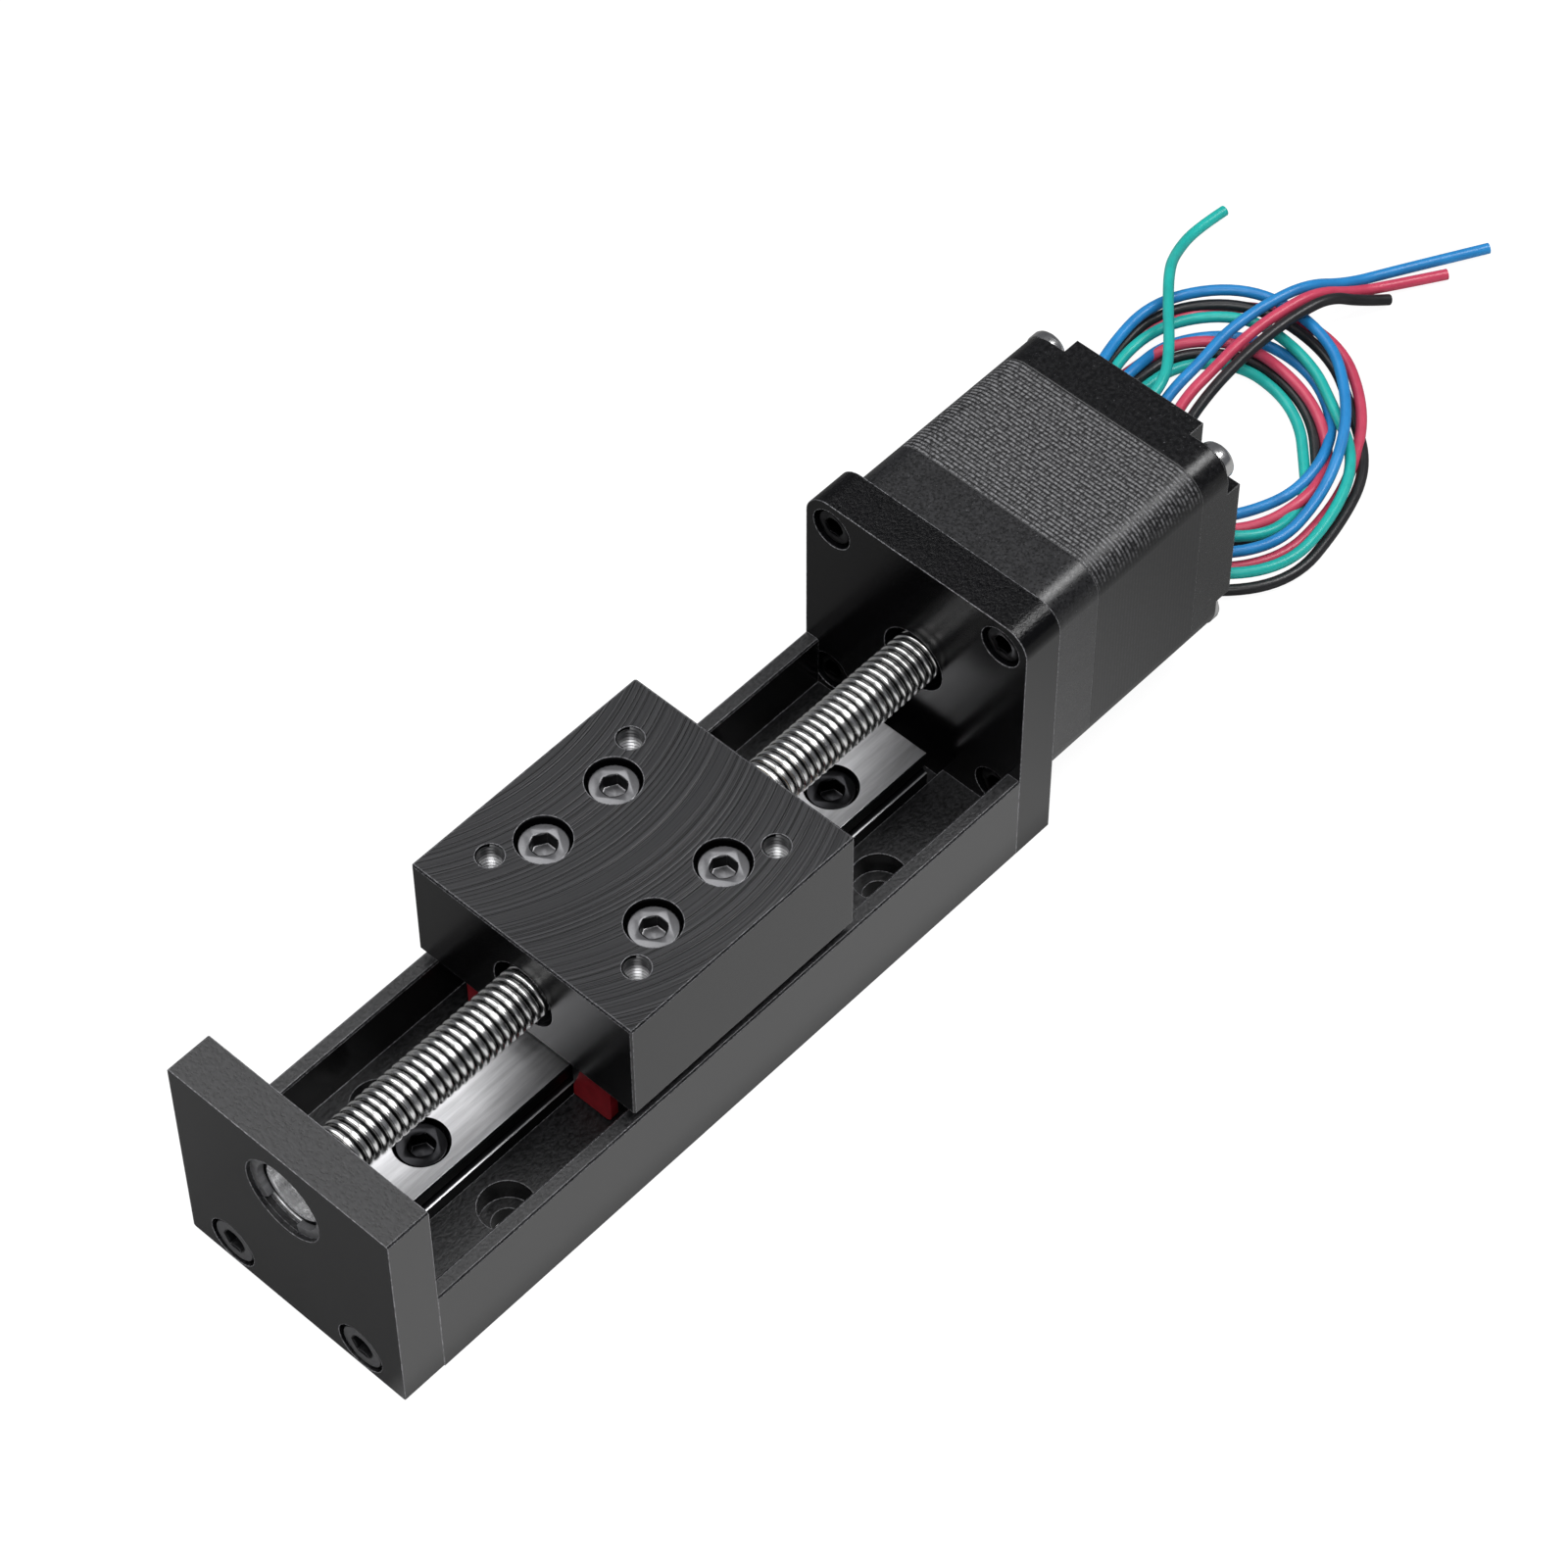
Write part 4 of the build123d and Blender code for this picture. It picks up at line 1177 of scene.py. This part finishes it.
@dataclass
class TappedThreads:
    """The cut threads in the carriage's four top holes."""

    centre_mm: float = 0.9
    spacing_mm: float = 20.0
    top_mm: float = 27.8
    depth_mm: float = 7.0
    pitch_mm: float = 0.5
    wall_mm: float = 0.05
    # What is trimmed off at the hole's floor and at its mouth, and how far the rest is lifted.
    foot_mm: float = 0.55
    mouth_mm: float = 0.35
    lift_mm: float = 0.15
    outline_mm: Outline = ((0.0, 1.47), (0.07, 1.47), (0.22, 1.27), (0.28, 1.27), (0.43, 1.47), (0.5, 1.47))

    def build(self) -> Piece:
        """Models one thread and copies it to the four holes.

        Returns:
            The finished piece.
        """
        turns = math.ceil(self.depth_mm / self.pitch_mm) + 1
        thread = wind(self.outline_mm, self.pitch_mm, turns, 32)
        thread.rotation_euler = (0, -RIGHT_ANGLE, 0)
        apply_place(thread)
        with editing(thread):
            face_outwards(1e-7)
            trim((0, 0, self.foot_mm), (0, 0, -1), False)
            trim((0, 0, self.depth_mm - self.mouth_mm), (0, 0, 1), False)
        apply_modifier(thread, "SOLIDIFY", thickness=self.wall_mm * MM, offset=1.0)
        half = self.spacing_mm / 2
        floor = self.top_mm - self.depth_mm + self.lift_mm
        places = [(self.centre_mm + x, y, floor) for x in (-half, half) for y in (-half, half)]
        made = copies(thread, places, Facing.UP)
        settle(made, "carriage_hole_threads", HOLE_THREAD.build(), 50.0)
        mount_piece(made, Body.CARRIAGE, "black_anodised_aluminium")
        return made


@dataclass
class Lead:
    """One insulated motor lead: its outlet, two loose turns clockwise and a tail."""

    colour: str
    sleeve: str
    shade: str
    length_mm: float
    outlet_mm: list[Point]
    # The turns, one point for every step, as (distance from the coil's centre, height).
    turns_mm: list[tuple[float, float]]
    tail_mm: list[Point]
    solids: tuple[str, ...] = ()
    diameter_mm: float = 1.3
    centre_mm: tuple[float, float] = (100.9, 5.3)
    start_deg: float = 90.0
    step_deg: float = 30.0
    # The spline runs inside its points, so those of the turns lie this many times as far out.
    widening: float = 1.033

    def route(self) -> list[Point]:
        """Puts the route's points in one row.

        Returns:
            The points, in mm.
        """
        turns = []
        for count, (reach, height) in enumerate(self.turns_mm):
            angle = math.radians(self.start_deg - self.step_deg * count)
            x = self.centre_mm[0] + reach * self.widening * math.cos(angle)
            y = self.centre_mm[1] + reach * self.widening * math.sin(angle)
            turns.append((x, y, height))
        return [*self.outlet_mm, *turns, *self.tail_mm]

    def build(self) -> Piece:
        """Lays the lead as a smooth curve.

        Returns:
            The curve.
        """
        points = self.route()
        curve = bpy.data.curves.new(f"lead_{self.colour}", "CURVE")
        curve.dimensions = "3D"
        curve.bevel_depth = self.diameter_mm / 2 * MM
        curve.bevel_resolution = 5
        curve.use_fill_caps = True
        spline = curve.splines.new("NURBS")
        spline.points.add(len(points) - 1)
        for target, place in zip(spline.points, points):
            target.co = (*(Vector(place) * MM), 1.0)
        spline.order_u = 3
        spline.use_endpoint_u = True
        spline.resolution_u = 10
        lead = bpy.data.objects.new(f"lead_{self.colour}", curve)
        bpy.context.collection.objects.link(lead)
        # A soft, slightly glossy sleeve whose colour drifts a little along it.
        sleeve = Moulded(f"{self.colour}_pvc_sleeve", self.sleeve, 0.33, second=self.shade, depth_mm=0.003)
        curve.materials.append(sleeve.build())
        ends = (f"lead_{self.colour}_outlet", f"lead_{self.colour}_tail")
        mount_piece(lead, Body.BASE, f"lead_{self.colour}", *ends, *self.solids)
        return lead


LEADS = (
    Lead(
        "red", "#c84660", "#b93a55", 269.0,
        [(74.4, 15.3, 16.85), (74.4, 20.4, 16.85), (77.4, 24.4, 11.4), (83.2, 25.4, 4.4), (89.9, 23.7, 1.1),
         (96.0, 20.4, 0.75)],
        [(14.5, 0.66), (15.3, 1.5), (14.6, 1.6), (12.0, 1.9), (11.4, 1.6), (11.9, 0.66), (12.3, 1.95),
         (12.3, 0.66), (12.6, 0.66), (14.7, 1.6), (15.8, 1.95), (16.4, 2.0), (17.6, 0.8), (19.2, 0.66),
         (21.9, 0.66), (20.3, 1.3), (16.6, 1.3), (14.6, 0.9), (14.8, 0.66), (17.4, 0.66), (18.4, 0.66)],
        [(84.0, 1.0, 1.5), (86.0, 4.4, 3.2), (90.2, 6.9, 4.4), (94.8, 8.8, 4.9), (100.6, 10.6, 5.0),
         (105.6, 10.9, 5.1), (110.9, 11.4, 5.1), (117.0, 11.1, 5.1), (123.0, 10.0, 4.95), (128.2, 8.4, 1.9),
         (133.2, 6.3, 0.72), (138.7, 2.9, 0.66)],
    ),
    Lead(
        "blue", "#2484c4", "#1d76b4", 271.0,
        [(74.4, 15.3, 15.35), (74.4, 19.6, 15.35), (77.2, 22.9, 10.2), (82.6, 23.8, 3.8), (88.9, 22.2, 0.95),
         (94.6, 19.2, 0.72)],
        [(13.6, 1.9), (16.2, 0.66), (16.8, 0.66), (15.2, 0.66), (13.0, 0.66), (11.4, 1.9), (10.5, 1.2),
         (9.9, 0.66), (11.0, 0.66), (12.2, 0.66), (13.4, 1.95), (15.4, 3.2), (17.1, 2.6), (21.2, 2.6),
         (22.2, 2.9), (18.5, 3.3), (14.4, 3.6), (13.0, 3.6), (13.6, 2.6), (16.6, 2.3), (17.6, 2.3)],
        [(84.3, 2.4, 3.4), (86.2, 6.4, 4.2), (90.4, 9.2, 4.7), (95.2, 11.1, 5.0), (100.4, 12.4, 5.0),
         (105.8, 12.7, 5.1), (111.2, 13.5, 5.1), (117.6, 12.9, 5.1), (123.2, 11.5, 4.95), (128.6, 9.9, 1.9),
         (134.4, 7.9, 0.72), (139.9, 4.9, 0.66), (145.2, 1.9, 0.68)],
        solids=("lead_coil",),
    ),
    Lead(
        "black", "#1b1b1d", "#262628", 260.0,
        [(74.4, 15.3, 13.85), (74.4, 18.8, 13.85), (77.0, 21.4, 9.0), (82.0, 22.2, 3.2), (87.9, 20.7, 0.85),
         (93.2, 17.9, 0.7)],
        [(13.1, 0.66), (14.2, 0.66), (13.6, 0.66), (11.7, 0.66), (10.6, 0.66), (10.4, 0.66), (13.4, 0.66),
         (13.7, 0.66), (14.6, 0.66), (16.0, 0.66), (15.0, 0.66), (15.0, 2.0), (16.7, 1.3), (20.5, 1.3),
         (21.0, 1.5), (18.6, 0.66), (15.3, 0.66), (16.0, 0.66), (16.6, 0.66), (20.8, 0.66), (21.5, 0.66)],
        [(82.4, -0.8, 0.8), (84.6, 2.4, 2.4), (88.6, 4.6, 4.2), (93.6, 6.6, 4.9), (98.6, 8.2, 5.0),
         (103.4, 9.1, 5.1), (108.4, 9.6, 5.1), (113.2, 9.7, 5.15), (118.2, 9.4, 5.1), (123.4, 8.4, 4.95),
         (127.6, 6.9, 2.0), (131.0, 5.3, 0.72)],
    ),
    Lead(
        "green", "#1fb0a6", "#189f97", 250.0,
        [(74.4, 15.3, 12.35), (74.4, 18.0, 12.35), (76.8, 19.9, 7.9), (81.4, 20.6, 2.6), (87.0, 19.2, 0.75),
         (91.8, 16.6, 0.68)],
        [(11.8, 0.66), (12.6, 0.66), (12.1, 0.66), (10.2, 0.66), (9.1, 0.66), (9.0, 0.66), (11.9, 0.66),
         (14.6, 1.6), (14.2, 1.95), (13.4, 0.66), (13.6, 0.66), (13.7, 2.0), (15.7, 2.0), (18.0, 2.0),
         (18.6, 2.0), (15.2, 2.0), (12.9, 2.3), (14.5, 2.3), (15.9, 2.2), (19.6, 2.0), (20.2, 2.0)],
        [(82.2, 3.6, 3.0), (84.2, 8.2, 3.8), (88.8, 11.2, 4.6), (94.6, 12.6, 5.6), (100.0, 13.2, 6.3),
         (104.6, 16.4, 5.8), (109.4, 20.6, 5.1), (114.6, 24.8, 4.6), (119.6, 27.6, 1.7), (124.5, 28.8, 0.72),
         (129.2, 28.3, 0.66)],
    ),
)


# Studio


@dataclass
class Studio:
    """The pale floor, the soft lamps and the camera."""

    eye_mm: Point = (-207.66, -213.80, 425.07)
    right: Point = (0.67762, -0.73541, -0.00265)
    down: Point = (-0.58334, -0.53530, -0.61088)
    forward: Point = (0.44783, 0.41549, -0.79172)
    lens_mm: float = 115.715
    floor_m: float = 6.0
    floor_height_m: float = -0.0002
    floor_grey: float = 0.9
    # How much of the floor shows as its own white light, and how bright that is to the camera.
    lit_share: float = 0.86
    lit_strength: float = 1.09
    # What gloss mirrors of the floor along Y and X, as two places in metres and the glow at each: bright on
    # the near side, with painted shade that makes it dim under and behind the stage, and less beside the
    # motor.
    shade_behind: tuple[float, ...] = (-0.017, -0.012, 0.8, 0.09)
    shade_beside: tuple[float, ...] = (0.05, 0.085, 1.0, 0.36)
    room: Colour = (0.9, 0.92, 1.0, 1.0)
    room_strength: float = 0.12
    target: Point = (0.0, 0.0, 0.02)

    def camera(self) -> None:
        """Sets the camera where the photograph was taken from."""
        data = bpy.data.cameras.new("camera")
        data.lens = self.lens_mm
        data.sensor_width = 36.0
        data.clip_start = 0.01
        camera = bpy.data.objects.new("camera", data)
        bpy.context.collection.objects.link(camera)
        turn = Matrix((Vector(self.right), -Vector(self.down), -Vector(self.forward))).transposed()
        camera.matrix_world = Matrix.Translation(Vector(self.eye_mm) * MM) @ turn.to_4x4()
        bpy.context.scene.camera = camera

    def floor(self) -> None:
        """Lays a white floor that shows as white and keeps the object's shadow. What gloss mirrors of it
        carries painted shade under, behind and beside the stage.
        """
        clear_selection()
        bpy.ops.mesh.primitive_grid_add(
            x_subdivisions=8, y_subdivisions=8, size=self.floor_m, location=(0, 0, self.floor_height_m)
        )
        floor = bpy.context.object
        floor.name = "floor"
        material = bpy.data.materials.new("white_floor")
        material.use_nodes = True
        tree = material.node_tree
        tree.nodes.clear()
        rays = put(tree, "LightPath").outputs
        through = work(tree, Step.ADD, rays["Is Camera Ray"], rays["Is Transmission Ray"])
        seen = work(tree, Step.MINIMUM, work(tree, Step.ADD, through, rays["Is Glossy Ray"]), 1.0)
        share = work(tree, Step.MULTIPLY, seen, self.lit_share)
        position = put(tree, "NewGeometry").outputs["Position"]
        place = put(tree, "SeparateXYZ", inputs={0: position}).outputs
        # Painted shade on the floor that gloss mirrors: dim behind the stage and beside the motor.
        shade_behind = work(tree, Step.RAMP, place["Y"], *self.shade_behind)
        shade_beside = work(tree, Step.RAMP, place["X"], *self.shade_beside)
        glow_with_shade = work(tree, Step.MULTIPLY, shade_behind, shade_beside)
        plain = work(tree, Step.MULTIPLY, through, self.lit_strength)
        strength = work(tree, Step.MAXIMUM, plain, glow_with_shade)
        grey = (self.floor_grey, self.floor_grey, self.floor_grey, 1)
        matt = put(tree, "BsdfDiffuse", inputs={"Color": grey})
        white = put(tree, "Emission", inputs={"Color": (1, 1, 1, 1), "Strength": strength})
        mixed = put(tree, "MixShader", inputs={0: share, 1: matt.outputs[0], 2: white.outputs[0]})
        put(tree, "OutputMaterial", inputs={"Surface": mixed.outputs[0]})
        floor.data.materials.append(material)

    def world(self) -> None:
        """Surrounds the stage with soft grey light."""
        world = bpy.data.worlds.new("soft_room")
        world.use_nodes = True
        tree = world.node_tree
        tree.nodes.clear()
        room = {"Color": self.room, "Strength": self.room_strength}
        grey = put(tree, "Background", inputs=room)
        put(tree, "OutputWorld", inputs={"Surface": grey.outputs[0]})
        bpy.context.scene.world = world

    def lamp(self, name: str, place: Point, size: tuple[float, float], power: float) -> None:
        """Hangs one soft box that faces the stage.

        Args:
            name: the lamp's name.
            place: where it hangs, in metres.
            size: its width and height, in metres.
            power: its power in watts.
        """
        data = bpy.data.lights.new(name, "AREA")
        data.shape = "RECTANGLE"
        data.size, data.size_y = size
        data.energy = power
        lamp = bpy.data.objects.new(name, data)
        bpy.context.collection.objects.link(lamp)
        lamp.location = place
        lamp.rotation_euler = (Vector(self.target) - Vector(place)).to_track_quat("-Z", "Y").to_euler()

    def build(self) -> None:
        """Sets up camera, floor, world and lamps."""
        self.camera()
        self.floor()
        self.world()
        self.lamp("top_box", (-0.13, 0.5, 1.0), (1.2, 1.0), 9.5)
        self.lamp("key_box", (0.55, -0.3, 1.0), (0.4, 0.55), 7.0)
        self.lamp("front_box", (-0.4, -0.4, 0.9), (0.5, 0.5), 4.0)
        bpy.context.scene.view_settings.view_transform = "Standard"


def dress_solids() -> None:
    """Gives every carried-over solid its finish."""
    for finish, nodes in FIND.items():
        material = finish.build()
        for node in nodes:
            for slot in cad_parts[node].material_slots:
                slot.material = material
        log.info("%s on %s", finish.name, ", ".join(nodes))


def socket_sets() -> list[SocketScrews]:
    """Lists the five sets of cap screws, with the solids' own sizes.

    Returns:
        The sets, not yet built.
    """
    base, up, left, right = Body.BASE, Facing.UP, Facing.LEFT, Facing.RIGHT
    m3 = {"thread_mm": 2.96, "head_mm": 5.5, "head_height_mm": 3.0, "key_mm": 2.5}
    m25 = {"thread_mm": 2.46, "head_mm": 4.5, "head_height_mm": 2.5, "key_mm": 2.0}
    # The rail's and the motor's screws take the darker copy of the finish: painted shade.
    deep = {"finish": BLACK_OXIDE_SHADED}
    carriage = [(0.9 + x, y, 24.0) for x in (-5, 5) for y in (-7.5, 7.5)]
    rail = [(x, 0.0, 6.8) for x in (-30, -10, 10, 30)]
    plate, mount = ([(x, y, 3.1) for y in (-9.0, 9.0)] for x in (-44.7, 44.5))
    motor = [(45.4, y, AXIS_MM + z) for y in (-11.5, 11.5) for z in (-11.5, 11.5)]
    return [
        SocketScrews("carriage_cap_screws", "carriage_screws", Body.CARRIAGE, up, carriage, 12.0, **m3),
        SocketScrews("rail_cap_screws", "rail_screws", base, up, rail, 6.0, **m3, **deep),
        SocketScrews("end_plate_cap_screws", "end_plate_screws", base, left, plate, 8.0, **m3),
        SocketScrews("mount_cap_screws", "mount_base_screws", base, right, mount, 8.0, **m3),
        SocketScrews("motor_cap_screws", "motor_mount_screws", base, left, motor, 6.0, **m25, **deep),
    ]


def main() -> None:
    """Builds everything in order."""
    logging.basicConfig(level=logging.INFO, format="%(name)s: %(message)s")
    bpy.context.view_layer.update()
    dress_solids()
    Studio().build()
    for lead in LEADS:
        lead.build()
    LeadScrew().build()
    for screws in socket_sets():
        screws.build()
    TieScrews().build()
    EndBearing().build()
    TappedThreads().build()


if __name__ == "__main__":
    main()
